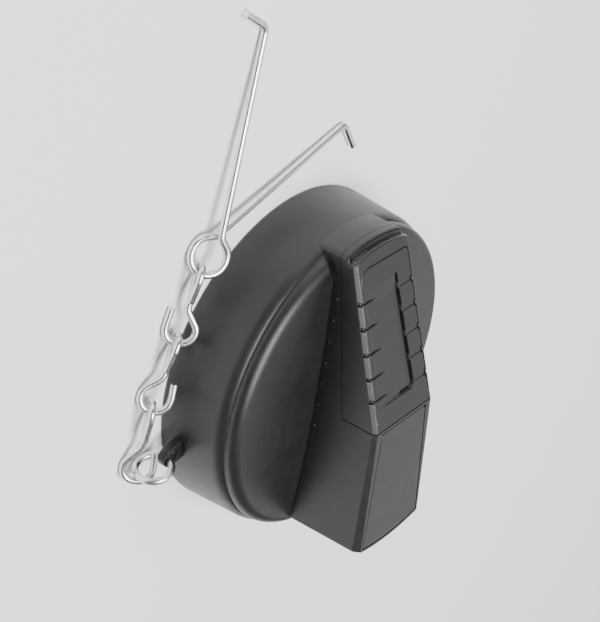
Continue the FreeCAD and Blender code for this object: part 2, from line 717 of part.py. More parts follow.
def bolt_blank(grow):
    """Return the bolt's outer form, grown sideways and up and down for its window."""
    z0 = PLATE_BOTTOM_Z + PLATE_THICK + BOLT_GAP - grow
    z1 = z0 + BOLT_T + 2 * grow
    wide = box(LOCK_X - BOLT_HALF_W - grow, LOCK_X + BOLT_HALF_W + grow, BOLT_TAIL_Y, BOLT_SHOULDER_Y, z0, z1)
    nose = box(BOLT_NOSE_X0 - grow, BOLT_NOSE_X1 + grow, 0, BOLT_TIP_Y, z0, z1)
    return wide.fuse(nose)


def make_lock_bolt():
    """Return the bolt with the cross slot for the cam's pin."""
    angle = math.radians(CAM_TURN_DEG / 2)
    reach = CAM_PIN_R + PIN_SLOT_GAP
    x0 = LOCK_X + CAM_PIN_ORBIT * math.cos(angle) - reach
    x1 = LOCK_X + CAM_PIN_ORBIT + reach
    middle = CAM_PIN_ORBIT * math.sin(angle)
    slot = box(x0, x1, middle - reach, middle + reach, 0, CEILING_Z)
    return solid(bolt_blank(0).cut(slot))


def make_bayonet_body():
    """Return the spigot's stem: flange, tube, web, screw bosses and bolt window."""
    foot = PLATE_BOTTOM_Z + PLATE_THICK
    flange_top = CEILING_Z - GASKET_T
    stem = tube(STEM_R, STEM_R - STEM_WALL, foot, flange_top)
    flange = tube(FLANGE_R, STEM_R - STEM_WALL, flange_top - FLANGE_T, flange_top)
    web = tube(STEM_R, 0, WEB_Z, WEB_Z + WEB_T)
    bosses = [tube(BOSS_R, 0, foot, WEB_Z + 0.5, x, y) for x, y in BOSS_PLACES]
    body = stem.fuse([flange, web] + bosses)
    window = bolt_blank(WINDOW_GAP).common(box(-RIM_R, RIM_R, WINDOW_FROM_Y, RIM_R, 0, CEILING_Z))
    body = body.cut(window)
    body = body.cut(tube(TAIL_R + 0.06, 0, WEB_Z - 1, WEB_Z + WEB_T + 1, LOCK_X))
    body = body.cut(tube(VENT_HOLE_R, 0, WEB_Z - 1, WEB_Z + WEB_T + 1, VENT_X))
    for x, y in BOSS_PLACES:
        body = body.cut(tube(SCREW_R, 0, 0, BOSS_SCREW_TOP_Z, x, y))
    for x, y in screw_places():
        body = body.cut(tube(SCREW_R, 0, WEB_Z, CEILING_Z, x, y))
    groove = tube(STEM_R + PAST, STEM_R - STOP_GROOVE, STOP_RING_Z, STOP_RING_Z + STOP_RING_T)
    return solid(body.cut(groove))


def make_bayonet_plate():
    """Return the pressed steel plate with two wings and its screw and vent holes."""
    top = PLATE_BOTTOM_Z + PLATE_THICK
    plate = tube(PLATE_R, 0, PLATE_BOTTOM_Z, top)
    wing_disc = tube(WING_R, 0, PLATE_BOTTOM_Z, top)
    half = WING_R * math.sin(math.radians(WING_HALF_DEG))
    plate = plate.fuse(wing_disc.common(box(-WING_R, WING_R, -half, half, 0, top)))
    for x, y in BOSS_PLACES:
        plate = plate.cut(tube(SCREW_R, 0, 0, top + 1, x, y))
        plate = plate.cut(Part.makeCone(SCREW_HEAD_R, SCREW_R, PLATE_THICK / 2, V(x, y, PLATE_BOTTOM_Z), UP))
    for index in range(VENT_PORTS):
        angle = math.radians(360 / VENT_PORTS * index)
        x = VENT_X / 2 + VENT_PORT_CIRCLE * math.cos(angle)
        plate = plate.cut(tube(VENT_PORT_R, 0, 0, top + 1, x, VENT_PORT_CIRCLE * math.sin(angle)))
    return solid(plate)


def make_plate_screws():
    """Return the countersunk screws of the bayonet plate."""
    screws = []
    for x, y in BOSS_PLACES:
        shank = tube(SCREW_R, 0, PLATE_BOTTOM_Z + 0.01, BOSS_SCREW_TOP_Z, x, y)
        head = Part.makeCone(SCREW_HEAD_R, SCREW_R, PLATE_THICK / 2, V(x, y, PLATE_BOTTOM_Z), UP)
        slot_top = PLATE_BOTTOM_Z + SLOT_DEPTH
        slot = box(x - SLOT_HALF_L, x + SLOT_HALF_L, y - SLOT_HALF_W, y + SLOT_HALF_W, 0, slot_top)
        screws.append(shank.fuse(head).cut(slot).removeSplitter())
    return Part.makeCompound(screws)


def make_flange_screws():
    """Return the screws that hold the flange up against the cover."""
    screws = []
    seat = CEILING_Z - GASKET_T - FLANGE_T
    for x, y in screw_places():
        shank = tube(SCREW_R, 0, seat, SCREW_TOP_Z, x, y)
        head = tube(SCREW_HEAD_R, 0, seat - SCREW_HEAD_H, seat, x, y)
        low = seat - SCREW_HEAD_H
        socket = tube(SOCKET_R, 0, low - PAST, low + SOCKET_DEPTH, x, y)
        screws.append(shank.fuse(head).cut(socket).removeSplitter())
    return Part.makeCompound(screws)


def make_flange_gasket():
    """Return the flat gasket between the flange and the cover."""
    gasket = tube(FLANGE_R, STEM_R - STEM_WALL, CEILING_Z - GASKET_T, CEILING_Z)
    for x, y in screw_places():
        gasket = gasket.cut(tube(SCREW_R, 0, 0, CEILING_Z + 1, x, y))
    return solid(gasket)


def make_pressure_plate():
    """Return the sprung plate that carries the seal and runs on the stem."""
    bore = STEM_R + PRESS_FIT
    lip_low = PRESS_Z - PRESS_LIP_DEPTH
    seal_out = SEAL_R_OUT + SEAL_FIT
    seal_in = SEAL_R_IN - SEAL_FIT
    plate = tube(PRESS_R, bore, PRESS_Z, PRESS_Z + PRESS_T)
    hub = tube(bore + PRESS_HUB_T, bore, PRESS_Z, PRESS_Z + PRESS_T + PRESS_HUB_H)
    outer_lip = tube(seal_out + PRESS_LIP_T, seal_out, lip_low, PRESS_Z + 0.5)
    inner_lip = tube(seal_in, seal_in - PRESS_LIP_T, lip_low, PRESS_Z + 0.5)
    return solid(plate.fuse([hub, outer_lip, inner_lip]))


def make_chain_ring():
    """Return the ring that hangs in the eye, standing on its edge."""
    centre = V(RING_CENTRE_R, 0, RING_R + RING_WIRE / 2)
    ring = Part.makeTorus(RING_R, RING_WIRE / 2, centre, V(0, 1, 0))
    ring.rotate(ORIGIN, UP, EAR_DEG)
    return ring


def ring_wire_place():
    """Return the place on the ring's wire, at the links' height, where the last link hangs."""
    rise = LINK_AXIS_Z - (RING_R + RING_WIRE / 2)
    out = RING_CENTRE_R + math.sqrt(RING_R ** 2 - rise ** 2)
    angle = math.radians(EAR_DEG)
    return V(out * math.cos(angle), out * math.sin(angle), LINK_AXIS_Z)


def link_ends():
    """Return the wire centres at each link's two ends, from the anchor's side to the ring's."""
    bends = []
    for out, degrees in LINK_BENDS:
        angle = math.radians(degrees)
        bends.append(V((RIM_R + out) * math.cos(angle), (RIM_R + out) * math.sin(angle), LINK_AXIS_Z))
    half_overlap = (LINK_WIRE + LINK_CLEAR) / 2
    ring_place = ring_wire_place()
    ends = []
    for index in range(LINK_COUNT):
        start = bends[index]
        if index + 1 < LINK_COUNT:
            stop = bends[index + 1]
        else:
            stop = ring_place + (ring_place - start).normalize() * half_overlap
        axis = (stop - start).normalize()
        ends.append((start - axis * half_overlap, stop + axis * half_overlap))
    return ends


def link_frame(start, stop):
    """Return a link's axis and its two loops' sideways directions, each at 45 degrees to the floor."""
    axis = (stop - start).normalize()
    outward = axis.cross(UP).normalize()
    if outward.dot(start) < 0:
        outward = outward * -1
    tilted = (UP + outward).normalize()
    return axis, (UP - outward).normalize(), tilted


def make_chain_link(start, stop, free_side, free_spread):
    """Return one bent-wire link: a narrow loop at start, and an open loop square to it at stop."""
    axis, open_side, narrow_side = link_frame(start, stop)
    length = (stop - start).Length
    waist = length * 0.5

    def at(along, across, side):
        """Return the point of the link's own frame."""
        return start + axis * along + side * across

    narrow = LINK_NARROW_R
    wide = LINK_OPEN_R
    side = open_side * free_side
    points = [at(waist - 1.2, 1.25, narrow_side), at(narrow * 1.3, narrow, narrow_side),
              at(0, narrow * 0.98, narrow_side), at(0, -narrow * 0.98, narrow_side),
              at(narrow * 1.3, -narrow, narrow_side), at(waist - 1.6, 0, narrow_side),
              at(waist + 1.6, 0, side), at(length - wide * 1.25, -wide, side), at(length, -wide * 0.98, side),
              at(length, wide * 0.98, side), at(length - wide * 1.25, wide * 1.02, side),
              at(waist + 2.4, wide * free_spread, side)]
    radii = [2.0, narrow * 0.9, narrow * 0.9, 4.0, 3.2, 3.2, 4.0, wide * 0.9, wide * 0.9, 4.0]
    return round_wire(bent_path(points, radii), LINK_WIRE)


def anchor_frame():
    """Return the anchor's eye centre and the directions in and square to the eye's plane."""
    rise = (LINK_AXIS_Z - ANCHOR_WIRE / 2 - ANCHOR_EYE_SPARE) / ANCHOR_EYE_R
    heading = math.radians(ANCHOR_EYE_HEADING_DEG)
    ahead = V(math.cos(heading), math.sin(heading), 0)
    across = ahead.cross(UP) * -math.sqrt(1 - rise ** 2) + UP * rise
    normal = across.cross(ahead)
    if normal.z < 0:
        normal = normal * -1
    start, stop = link_ends()[0]
    axis = (stop - start).normalize()
    wire_place = start + axis * (LINK_WIRE + LINK_CLEAR)
    return wire_place - ahead * ANCHOR_EYE_R, ahead, across, normal


def anchor_tip(neck, side):
    """Return the tip and the hook's end of one leg, flat on the floor."""
    height = ANCHOR_WIRE / 2
    drop = neck.z - height
    reach = math.sqrt(ANCHOR_LEG ** 2 - drop ** 2)
    leg = math.radians(ANCHOR_MIDDLE_DEG + side * ANCHOR_SPREAD_DEG / 2)
    tip = V(neck.x + reach * math.cos(leg), neck.y + reach * math.sin(leg), height)
    hook = leg + side * math.radians(ANCHOR_HOOK_TURN_DEG)
    end = tip + V(ANCHOR_HOOK * math.cos(hook), ANCHOR_HOOK * math.sin(hook), 0)
    return tip, end


def make_wire_anchor():
    """Return the wire anchor: an eye of one crossing turn, two spread legs and outward hooks."""
    centre, ahead, across, normal = anchor_frame()
    corner_r = ANCHOR_EYE_R / math.cos(math.radians(30))
    lift = ANCHOR_WIRE * 0.68
    neck = centre - ahead * (ANCHOR_EYE_R * 1.12)
    left_neck = neck + normal * lift
    right_neck = neck - normal * lift
    left_tip, left_end = anchor_tip(left_neck, 1)
    right_tip, right_end = anchor_tip(right_neck, -1)
    points = [left_end, left_tip, left_neck]
    for step in range(1, 6):
        angle = math.radians(180 - 60 * step)
        share = 1 - step / 3
        in_plane = ahead * (corner_r * math.cos(angle)) + across * (corner_r * math.sin(angle))
        points.append(centre + in_plane + normal * (lift * share * 0.75))
    points += [right_neck, right_tip, right_end]
    radii = [ANCHOR_BEND_R, ANCHOR_BEND_R] + [ANCHOR_EYE_R * 0.93] * 5 + [ANCHOR_BEND_R, ANCHOR_BEND_R]
    return round_wire(bent_path(points, radii), ANCHOR_WIRE)


def main():
    """Build every sub-part and write it to its own file."""
    os.makedirs("parts", exist_ok=True)
    bar = make_bar()
    press_top = PRESS_Z + PRESS_T
    web_top = WEB_Z + WEB_T
    disc_top = web_top + VENT_DISC_T
    cage_top = web_top + VENT_CAGE_H
    save("cover_shell", make_cover_shell(bar))
    save("handle_lid", make_handle_lid())
    save("slide_cover", make_slide_cover(bar))
    save("lock_housing", make_lock_housing())
    save("lock_plug", make_lock_plug())
    save("lock_wafers", make_lock_wafers())
    save("lock_nut", make_lock_nut())
    save("plug_clip", make_plug_clip())
    save("lock_cam", make_lock_cam())
    save("cam_pin", make_cam_pin())
    save("lock_bolt", make_lock_bolt())
    save("bayonet_body", make_bayonet_body())
    save("bayonet_plate", make_bayonet_plate())
    save("plate_screws", make_plate_screws())
    save("flange_screws", make_flange_screws())
    save("flange_gasket", make_flange_gasket())
    save("pressure_plate", make_pressure_plate())
    save("stop_ring", tube(STOP_RING_R, STEM_R - STOP_GROOVE, STOP_RING_Z, STOP_RING_Z + STOP_RING_T))
    save("seal_ring", tube(SEAL_R_OUT, SEAL_R_IN, PRESS_Z - SEAL_H, PRESS_Z))
    save("main_spring", coil("main_spring", SPRING_R, SPRING_WIRE, SPRING_TURNS, press_top, CEILING_Z))
    save("vent_disc", tube(VENT_DISC_R, 0, web_top, disc_top, VENT_X))
    save("vent_spring", coil("vent_spring", VENT_SPRING_R, VENT_SPRING_WIRE, VENT_SPRING_TURNS, disc_top,
                             cage_top - VENT_CAGE_WALL, VENT_X))
    cage = tube(VENT_CAGE_R, 0, web_top, cage_top, VENT_X)
    cage = cage.cut(tube(VENT_CAGE_R - VENT_CAGE_WALL, 0, web_top - 1, cage_top - VENT_CAGE_WALL, VENT_X))
    save("vent_cage", cage.cut(tube(VENT_PORT_R, 0, web_top, cage_top + 1, VENT_X)))
    save("chain_ring", make_chain_ring())
    for index, (start, stop) in enumerate(link_ends()):
        link = make_chain_link(start, stop, LINK_FREE_SIDE[index], LINK_FREE_SPREAD[index])
        save("chain_link_" + str(index + 1), link)
    save("wire_anchor", make_wire_anchor())


main()
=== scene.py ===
"""Looks of a locking tank cap: cover with handle bar, sliding lock cover, lock, spigot and wire chain."""

import logging
import math
from dataclasses import dataclass
from enum import Enum
from typing import Callable, Optional, Sequence, Union

import bmesh
import bpy
import numpy as np
from mathutils import Matrix, Vector


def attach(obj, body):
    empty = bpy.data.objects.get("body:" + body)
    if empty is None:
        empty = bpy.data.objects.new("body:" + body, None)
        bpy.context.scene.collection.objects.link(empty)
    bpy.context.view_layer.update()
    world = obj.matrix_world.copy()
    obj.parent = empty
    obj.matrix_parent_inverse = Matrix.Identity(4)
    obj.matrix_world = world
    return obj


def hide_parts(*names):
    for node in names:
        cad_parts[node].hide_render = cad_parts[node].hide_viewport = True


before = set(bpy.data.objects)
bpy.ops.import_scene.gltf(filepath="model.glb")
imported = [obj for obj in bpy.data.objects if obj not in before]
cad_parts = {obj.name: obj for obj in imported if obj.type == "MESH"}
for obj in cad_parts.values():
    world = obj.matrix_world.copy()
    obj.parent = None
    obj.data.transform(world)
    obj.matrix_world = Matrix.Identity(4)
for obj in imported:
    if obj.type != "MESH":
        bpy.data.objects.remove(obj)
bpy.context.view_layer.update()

MM = 0.001
WELD_MM = 0.002
TINY = 1e-6
FAR_MM = 1e6
EDGE_STEPS = 5
EDGE_HOLD = 0.15
LOG = logging.getLogger("cap")

Array = np.ndarray
Number = Union["Wire", float]
Colour = tuple[float, float, float]
Point = tuple[float, float]
Piece = bpy.types.Object
Socket = bpy.types.NodeSocket
Node = bpy.types.Node
Material = bpy.types.Material


class Finish(Enum):
    """The finishes that the pieces are dressed in."""

    COVER = "black_moulded_plastic"
    SLIDE = "black_slide_plastic"
    SPIGOT = "spigot_plastic"
    PLATE = "plate_plastic"
    RUBBER = "seal_rubber"
    WIRE = "bright_zinc_wire"
    STEEL = "zinc_plated_steel"
    SPRING = "spring_steel"
    LOCK = "cast_zinc"
    BRASS = "brass"


def smooth(value: Array) -> Array:
    """Ease a share from 0 to 1: three times its square less twice its cube, held within 0 and 1."""
    share = np.clip(value, 0.0, 1.0)
    return share * share * (3.0 - 2.0 * share)


def runs(*spans: tuple[float, float, float]) -> Array:
    """Join evenly stepped runs, each given by start, end and step, into rising values without doubles."""
    parts = [np.linspace(a, b, max(2, int(round(abs(b - a) / step)) + 1)) for a, b, step in spans]
    return np.unique(np.round(np.concatenate(parts), 5))


def spread(*coordinates: Array) -> Array:
    """Points from their separate coordinates, each stretched to the shape that all of them share."""
    return np.stack(np.broadcast_arrays(*coordinates), axis=-1)


def between(start: float, end: float, share: Array) -> Array:
    """The value at a share of the way from start to end."""
    return start + share * (end - start)


def corner_distance(across: Array, along: Array) -> Array:
    """Distance to a corner of two lines: round outside it, and to the nearer line, below 0, within it."""
    return np.hypot(np.maximum(across, 0), np.maximum(along, 0)) + np.minimum(np.maximum(across, along), 0)


def arc_through(start: Point, middle: Point, end: Point, count: int) -> Array:
    """Points of the circle's arc from start through middle to end.

    The centre is where the two chords' perpendicular bisectors meet, and the angle runs evenly.

    Args:
        start: The first point.
        middle: A point on the way.
        end: The last point.
        count: How many points the arc has.

    Returns:
        The points, count by 2.
    """
    a, b, c = (np.array(point, float) for point in (start, middle, end))
    rows = np.array([b - a, c - b])
    centre = np.linalg.solve(rows, np.array([(b @ b - a @ a) / 2, (c @ c - b @ b) / 2]))
    first = math.atan2(*(a - centre)[::-1])
    sweep = math.atan2(*(c - centre)[::-1]) - first
    sweep = (sweep + math.pi) % (2 * math.pi) - math.pi
    angle = first + sweep * np.linspace(0, 1, count)
    radius = np.linalg.norm(a - centre)
    return centre + radius * np.stack([np.cos(angle), np.sin(angle)], axis=1)


def round_corners(corners: Array, radii: Sequence[float]) -> tuple[Array, Array]:
    """Round the corners of stacked closed outlines with tangent arcs, each between two held points.

    An arc's centre lies on the corner's bisector, at the radius over the sine of half the corner's angle. Its
    points turn evenly from one tangent point to the other, and it takes at most a part of the shorter edge
    beside it. The wear is 0 at the held points and highest in the middle of an arc.

    Args:
        corners: The outlines, stations by corners by 2.
        radii: One radius for each corner.

    Returns:
        The rounded outlines, and the wear of each point.
    """
    most, spare = 0.45, 1.05
    back = np.roll(corners, 1, axis=1) - corners
    ahead = np.roll(corners, -1, axis=1) - corners
    back_len = np.linalg.norm(back, axis=-1) + 1e-9
    ahead_len = np.linalg.norm(ahead, axis=-1) + 1e-9
    u = back / back_len[..., None]
    v = ahead / ahead_len[..., None]
    half = np.arccos(np.clip((u * v).sum(-1), -0.9999, 0.9999)) / 2
    room = most * np.minimum(back_len, ahead_len)
    reach = np.minimum(np.asarray(radii) / np.tan(half), room)
    bisector = u + v
    bisector /= np.linalg.norm(bisector, axis=-1)[..., None] + 1e-9
    centre = corners + bisector * (reach * np.tan(half) / np.sin(half))[..., None]
    from_start = corners + u * reach[..., None] - centre
    from_end = corners + v * reach[..., None] - centre
    turn = (math.pi - 2 * half)[..., None, None]
    share = np.linspace(0, 1, EDGE_STEPS + 1)[:, None]
    of_start = from_start[..., None, :] * np.sin((1 - share) * turn)
    of_end = from_end[..., None, :] * np.sin(share * turn)
    arc = centre[..., None, :] + (of_start + of_end) / np.sin(turn)
    out = np.minimum(reach + EDGE_HOLD, np.maximum(room * spare, reach))[..., None]
    first = (corners + u * out)[..., None, :]
    last = (corners + v * out)[..., None, :]
    points = np.concatenate([first, arc, last], axis=-2)
    worn = np.concatenate([[0.0], np.sin(np.pi * between(0.2, 0.8, share[:, 0])), [0.0]])
    wear = (np.asarray(radii) > 0)[None, :, None] * worn[None, None, :]
    wear = np.broadcast_to(wear, points.shape[:-1])
    return points.reshape(len(corners), -1, 2), wear.reshape(len(corners), -1)


class Patchwork:
    """Grid patches in millimetres that are welded into one closed mesh in metres."""

    def __init__(self) -> None:
        """Start with no patches."""
        self.points: list[Array] = []
        self.wears: list[Array] = []
        self.quads: list[Array] = []
        self.count = 0

    def grid(self, points: Array, wrap_rows: bool = False, wrap_cols: bool = False,
             wear: Optional[Array] = None) -> "Patchwork":
        """Add a surface given as points on a grid of two parameters.

        Args:
            points: Rows by columns by 3, or by 4 with the wear as the last value.
            wrap_rows: Whether the last row joins the first.
            wrap_cols: Whether the last column joins the first.
            wear: How worn each point is, rows by columns.

        Returns:
            The patchwork itself.
        """
        rows, cols = points.shape[:2]
        if points.shape[2] == 4:
            points, wear = points[..., :3], points[..., 3]
        if wear is None:
            wear = np.zeros((rows, cols))
        index = np.arange(rows * cols).reshape(rows, cols) + self.count
        if wrap_rows:
            index = np.concatenate([index, index[:1]], axis=0)
        if wrap_cols:
            index = np.concatenate([index, index[:, :1]], axis=1)
        quads = np.stack([index[:-1, :-1], index[:-1, 1:], index[1:, 1:], index[1:, :-1]], axis=-1)
        self.points.append(points.reshape(-1, 3))
        self.wears.append(np.broadcast_to(wear, (rows, cols)).reshape(-1))
        self.quads.append(quads.reshape(-1, 4))
        self.count += rows * cols
        return self

    def block(self, place: Callable[..., Array], stations: Array, levels: Array,
              columns: Array) -> "Patchwork":
        """Add the six faces of a block whose points follow a formula of three parameters.

        Args:
            place: Gives points from a station, a level and a column, whole arrays at a time.
            stations: The stations along the block.
            levels: The levels from its bottom to its top.
            columns: The columns from its left to its right.

        Returns:
            The patchwork itself.
        """
        for column in (columns[0], columns[-1]):
            self.grid(place(stations[:, None], levels[None, :], column))
        for level in (levels[0], levels[-1]):
            self.grid(place(stations[:, None], level, columns[None, :]))
        for station in (stations[0], stations[-1]):
            self.grid(place(station, levels[:, None], columns[None, :]))
        return self

    def make(self, name: str, sharp_degrees: float = 38.0) -> Piece:
        """Weld the patches, turn the faces outwards and return the object.

        Args:
            name: The piece's name.
            sharp_degrees: The angle between faces above which an edge is sharp.

        Returns:
            The object, at the origin.
        """
        points = np.concatenate(self.points) * MM
        quads = np.concatenate(self.quads)
        mesh = bpy.data.meshes.new(name)
        mesh.vertices.add(len(points))
        mesh.vertices.foreach_set("co", points.reshape(-1).astype(np.float32))
        mesh.loops.add(quads.size)
        mesh.loops.foreach_set("vertex_index", quads.reshape(-1).astype(np.int32))
        mesh.polygons.add(len(quads))
        mesh.polygons.foreach_set("loop_start", np.arange(0, quads.size, 4, dtype=np.int32))
        worn = mesh.attributes.new("wear", "FLOAT", "POINT")
        worn.data.foreach_set("value", np.concatenate(self.wears).astype(np.float32))
        mesh.update(calc_edges=True)
        shape = bmesh.new()
        shape.from_mesh(mesh)
        bmesh.ops.remove_doubles(shape, verts=shape.verts, dist=WELD_MM * MM)
        bmesh.ops.recalc_face_normals(shape, faces=shape.faces)
        shape.to_mesh(mesh)
        shape.free()
        mesh.shade_smooth()
        mesh.set_sharp_from_angle(angle=math.radians(sharp_degrees))
        piece = bpy.data.objects.new(name, mesh)
        bpy.context.scene.collection.objects.link(piece)
        return piece


class Wire:
    """A shader socket that takes part in arithmetic: each operator adds its Math node."""

    def __init__(self, bench: "Bench", socket: Socket) -> None:
        """Wrap one output socket of the bench's material."""
        self.bench = bench
        self.socket = socket

    def _math(self, operation: str, first: Number, second: Number) -> "Wire":
        """Add a Math node on two values."""
        return self.bench.out("ShaderNodeMath", {"operation": operation}, {0: first, 1: second})

    def __add__(self, other: Number) -> "Wire":
        """This plus other."""
        return self._math("ADD", self, other)

    def __radd__(self, other: Number) -> "Wire":
        """Other plus this."""
        return self._math("ADD", other, self)

    def __sub__(self, other: Number) -> "Wire":
        """This less other."""
        return self._math("SUBTRACT", self, other)

    def __mul__(self, other: Number) -> "Wire":
        """This times other."""
        return self._math("MULTIPLY", self, other)

    def above(self, low: float, high: float) -> "Wire":
        """Ease from 0 at low to 1 at high."""
        inputs = {"Value": self, "From Min": low, "From Max": high}
        return self.bench.out("ShaderNodeMapRange", {"interpolation_type": "SMOOTHSTEP"}, inputs)

class Bench:
    """One material and the nodes that are added to it."""

    def __init__(self, name: str) -> None:
        """Make an empty material with its shader and its Object coordinates."""
        self.material = bpy.data.materials.new(name)
        self.material.use_nodes = True
        self.tree = self.material.node_tree
        self.tree.nodes.clear()
        self.shader = self.node("ShaderNodeBsdfPrincipled")
        self.node("ShaderNodeOutputMaterial", {}, {"Surface": self.shader.outputs[0]})
        self.place = self.node("ShaderNodeTexCoord").outputs["Object"]

    def fill(self, node: Node, inputs: dict) -> None:
        """Give a node's inputs their values, or link them where the value is a socket or a wire."""
        for key, value in inputs.items():
            if isinstance(value, Wire):
                value = value.socket
            if isinstance(value, Socket):
                self.tree.links.new(value, node.inputs[key])
            else:
                node.inputs[key].default_value = value

    def node(self, kind: str, settings: Optional[dict] = None, inputs: Optional[dict] = None) -> Node:
        """Add a node, apply its settings, then fill or link its inputs.

        Args:
            kind: Blender's name of the node's type.
            settings: Its settings by name.
            inputs: Values, sockets or wires by the name or number of the input.

        Returns:
            The node.
        """
        made = self.tree.nodes.new(kind)
        for key, value in (settings or {}).items():
            setattr(made, key, value)
        self.fill(made, inputs or {})
        return made

    def out(self, kind: str, settings: dict, inputs: dict, name: Union[int, str] = 0) -> Wire:
        """Add a node and return one of its outputs as a wire."""
        return Wire(self, self.node(kind, settings, inputs).outputs[name])

    def noise(self, size_mm: float, detail: float = 3.0, rough: float = 0.55,
              stretch: Colour = (1, 1, 1)) -> Wire:
        """Add noise with features about size_mm across, longer along an axis whose stretch is below 1."""
        place = {"Vector": self.place, "Scale": stretch}
        place = self.node("ShaderNodeMapping", {"vector_type": "POINT"}, place).outputs[0]
        values = {"Vector": place, "Scale": 1.0 / (size_mm * MM), "Detail": detail, "Roughness": rough}
        return self.out("ShaderNodeTexNoise", {"noise_dimensions": "3D"}, values)

    def cells(self, size_mm: float) -> Wire:
        """Add the distance to the nearest of scattered points, about size_mm apart."""
        values = {"Vector": self.place, "Scale": 1.0 / (size_mm * MM)}
        return self.out("ShaderNodeTexVoronoi", {"feature": "F1"}, values, "Distance")

    def worn(self) -> Wire:
        """Read the piece's own wear attribute, 1 along its edges."""
        return self.out("ShaderNodeAttribute", {"attribute_name": "wear"}, {}, "Fac")

    def blend(self, share: Number, low: Union[Colour, Socket], high: Union[Colour, Socket]) -> Socket:
        """Mix two colours by a share, and return the colour's socket; a plain colour gets its alpha here."""
        low, high = (one if isinstance(one, Socket) else (*one, 1.0) for one in (low, high))
        return self.node("ShaderNodeMix", {"data_type": "RGBA"}, {0: share, 6: low, 7: high}).outputs[2]

    def relief(self, height: Wire, depth_mm: float) -> Socket:
        """Turn a height into a bumped normal, depth_mm for a height of 1."""
        values = {"Strength": 1.0, "Distance": depth_mm * MM, "Height": height}
        return self.node("ShaderNodeBump", {}, values).outputs["Normal"]

    def dress(self, values: dict) -> Material:
        """Fill the shader's own inputs and return the material."""
        self.fill(self.shader, values)
        return self.material


@dataclass(frozen=True)
class MouldedPlastic:
    """Moulded plastic with a fine spark-eroded grain, dull in its hollows and polished on its edges."""

    colour: Colour
    edge_colour: Colour
    roughness: float
    grain_mm: float = 0.42
    grain_height_mm: float = 0.016

    def material(self, name: str) -> Material:
        """Build the material."""
        bench = Bench(name)
        grain = bench.noise(self.grain_mm, 3.0, 0.6)
        pits = bench.cells(self.grain_mm * 1.7)
        flow = bench.noise(26.0, 2.0, 0.5, (1.0, 1.0, 0.5))
        handling = bench.noise(5.5, 5.0, 0.62)
        rub = bench.noise(1.6, 4.0, 0.65, (0.35, 1.0, 1.0))
        worn = bench.worn() * rub.above(0.3, 0.62)
        height = grain * 0.75 + pits * 0.35
        shade = handling.above(0.35, 0.75) * 0.3 + flow.above(0.3, 0.7) * 0.3 + rub.above(0.56, 0.74) * 0.25
        lighter = tuple(channel * 1.55 for channel in self.colour)
        body = bench.blend(shade, self.colour, lighter)
        colour = bench.blend(worn * 0.3, body, self.edge_colour)
        rough = self.roughness + (handling - 0.5) * 0.16 + (flow - 0.5) * 0.1
        rough = rough - worn * 0.1 + (grain - 0.5) * 0.1
        normal = bench.relief(height, self.grain_height_mm)
        return bench.dress({"Base Color": colour, "Roughness": rough, "Normal": normal,
                            "Specular IOR Level": 0.5, "IOR": 1.5})


@dataclass(frozen=True)
class Metal:
    """Bare or plated metal with a fine surface grain, cloudy stains and small rubbed spots."""

    colour: Colour
    stain: Colour
    roughness: float
    grain_mm: float = 0.25
    grain_height_mm: float = 0.004
    cloud_mm: float = 3.0

    def material(self, name: str) -> Material:
        """Build the material."""
        bench = Bench(name)
        grain = bench.noise(self.grain_mm, 4.0, 0.6)
        cloud = bench.noise(self.cloud_mm, 4.0, 0.6)
        spots = bench.noise(self.cloud_mm * 0.3, 3.0, 0.5)
        stained = cloud.above(0.42, 0.72) * 0.6 + spots.above(0.6, 0.75) * 0.4
        colour = bench.blend(stained, self.colour, self.stain)
        rough = self.roughness + (cloud - 0.5) * 0.22 + stained * 0.12 + (grain - 0.5) * 0.1
        return bench.dress({"Base Color": colour, "Metallic": 1.0, "Roughness": rough,
                            "Normal": bench.relief(grain, self.grain_height_mm)})


@dataclass(frozen=True)
class Rubber:
    """Matt black rubber with mould bloom and a soft pitted skin."""

    colour: Colour = (0.016, 0.016, 0.017)
    bloom: Colour = (0.045, 0.046, 0.048)
    roughness: float = 0.72

    def material(self, name: str) -> Material:
        """Build the material."""
        bench = Bench(name)
        skin = bench.noise(0.35, 3.0, 0.6)
        dust = bench.noise(4.5, 5.0, 0.65)
        colour = bench.blend(dust.above(0.42, 0.75) * 0.6, self.colour, self.bloom)
        rough = self.roughness + (dust - 0.5) * 0.2
        return bench.dress({"Base Color": colour, "Roughness": rough, "Normal": bench.relief(skin, 0.02),
                            "Specular IOR Level": 0.35})


FINISHES = {
    Finish.COVER: MouldedPlastic((0.008, 0.008, 0.0084), (0.07, 0.071, 0.073), 0.42),
    Finish.SLIDE: MouldedPlastic((0.0082, 0.0082, 0.0086), (0.075, 0.076, 0.078), 0.4),
    Finish.SPIGOT: MouldedPlastic((0.03, 0.03, 0.031), (0.1, 0.1, 0.1), 0.55, 0.6, 0.012),
    Finish.PLATE: MouldedPlastic((0.052, 0.052, 0.054), (0.14, 0.14, 0.14), 0.5, 0.5, 0.012),
    Finish.RUBBER: Rubber(),
    Finish.WIRE: Metal((0.78, 0.79, 0.8), (0.56, 0.56, 0.55), 0.24),
    Finish.STEEL: Metal((0.66, 0.68, 0.7), (0.5, 0.49, 0.44), 0.32, 0.3, 0.005, 6.0),
    Finish.SPRING: Metal((0.42, 0.42, 0.43), (0.3, 0.28, 0.26), 0.34, 0.2, 0.004, 4.0),
    Finish.LOCK: Metal((0.62, 0.63, 0.65), (0.46, 0.46, 0.46), 0.36, 0.35, 0.006, 3.0),
    Finish.BRASS: Metal((0.72, 0.53, 0.25), (0.5, 0.36, 0.17), 0.3, 0.25, 0.004, 2.5),
}

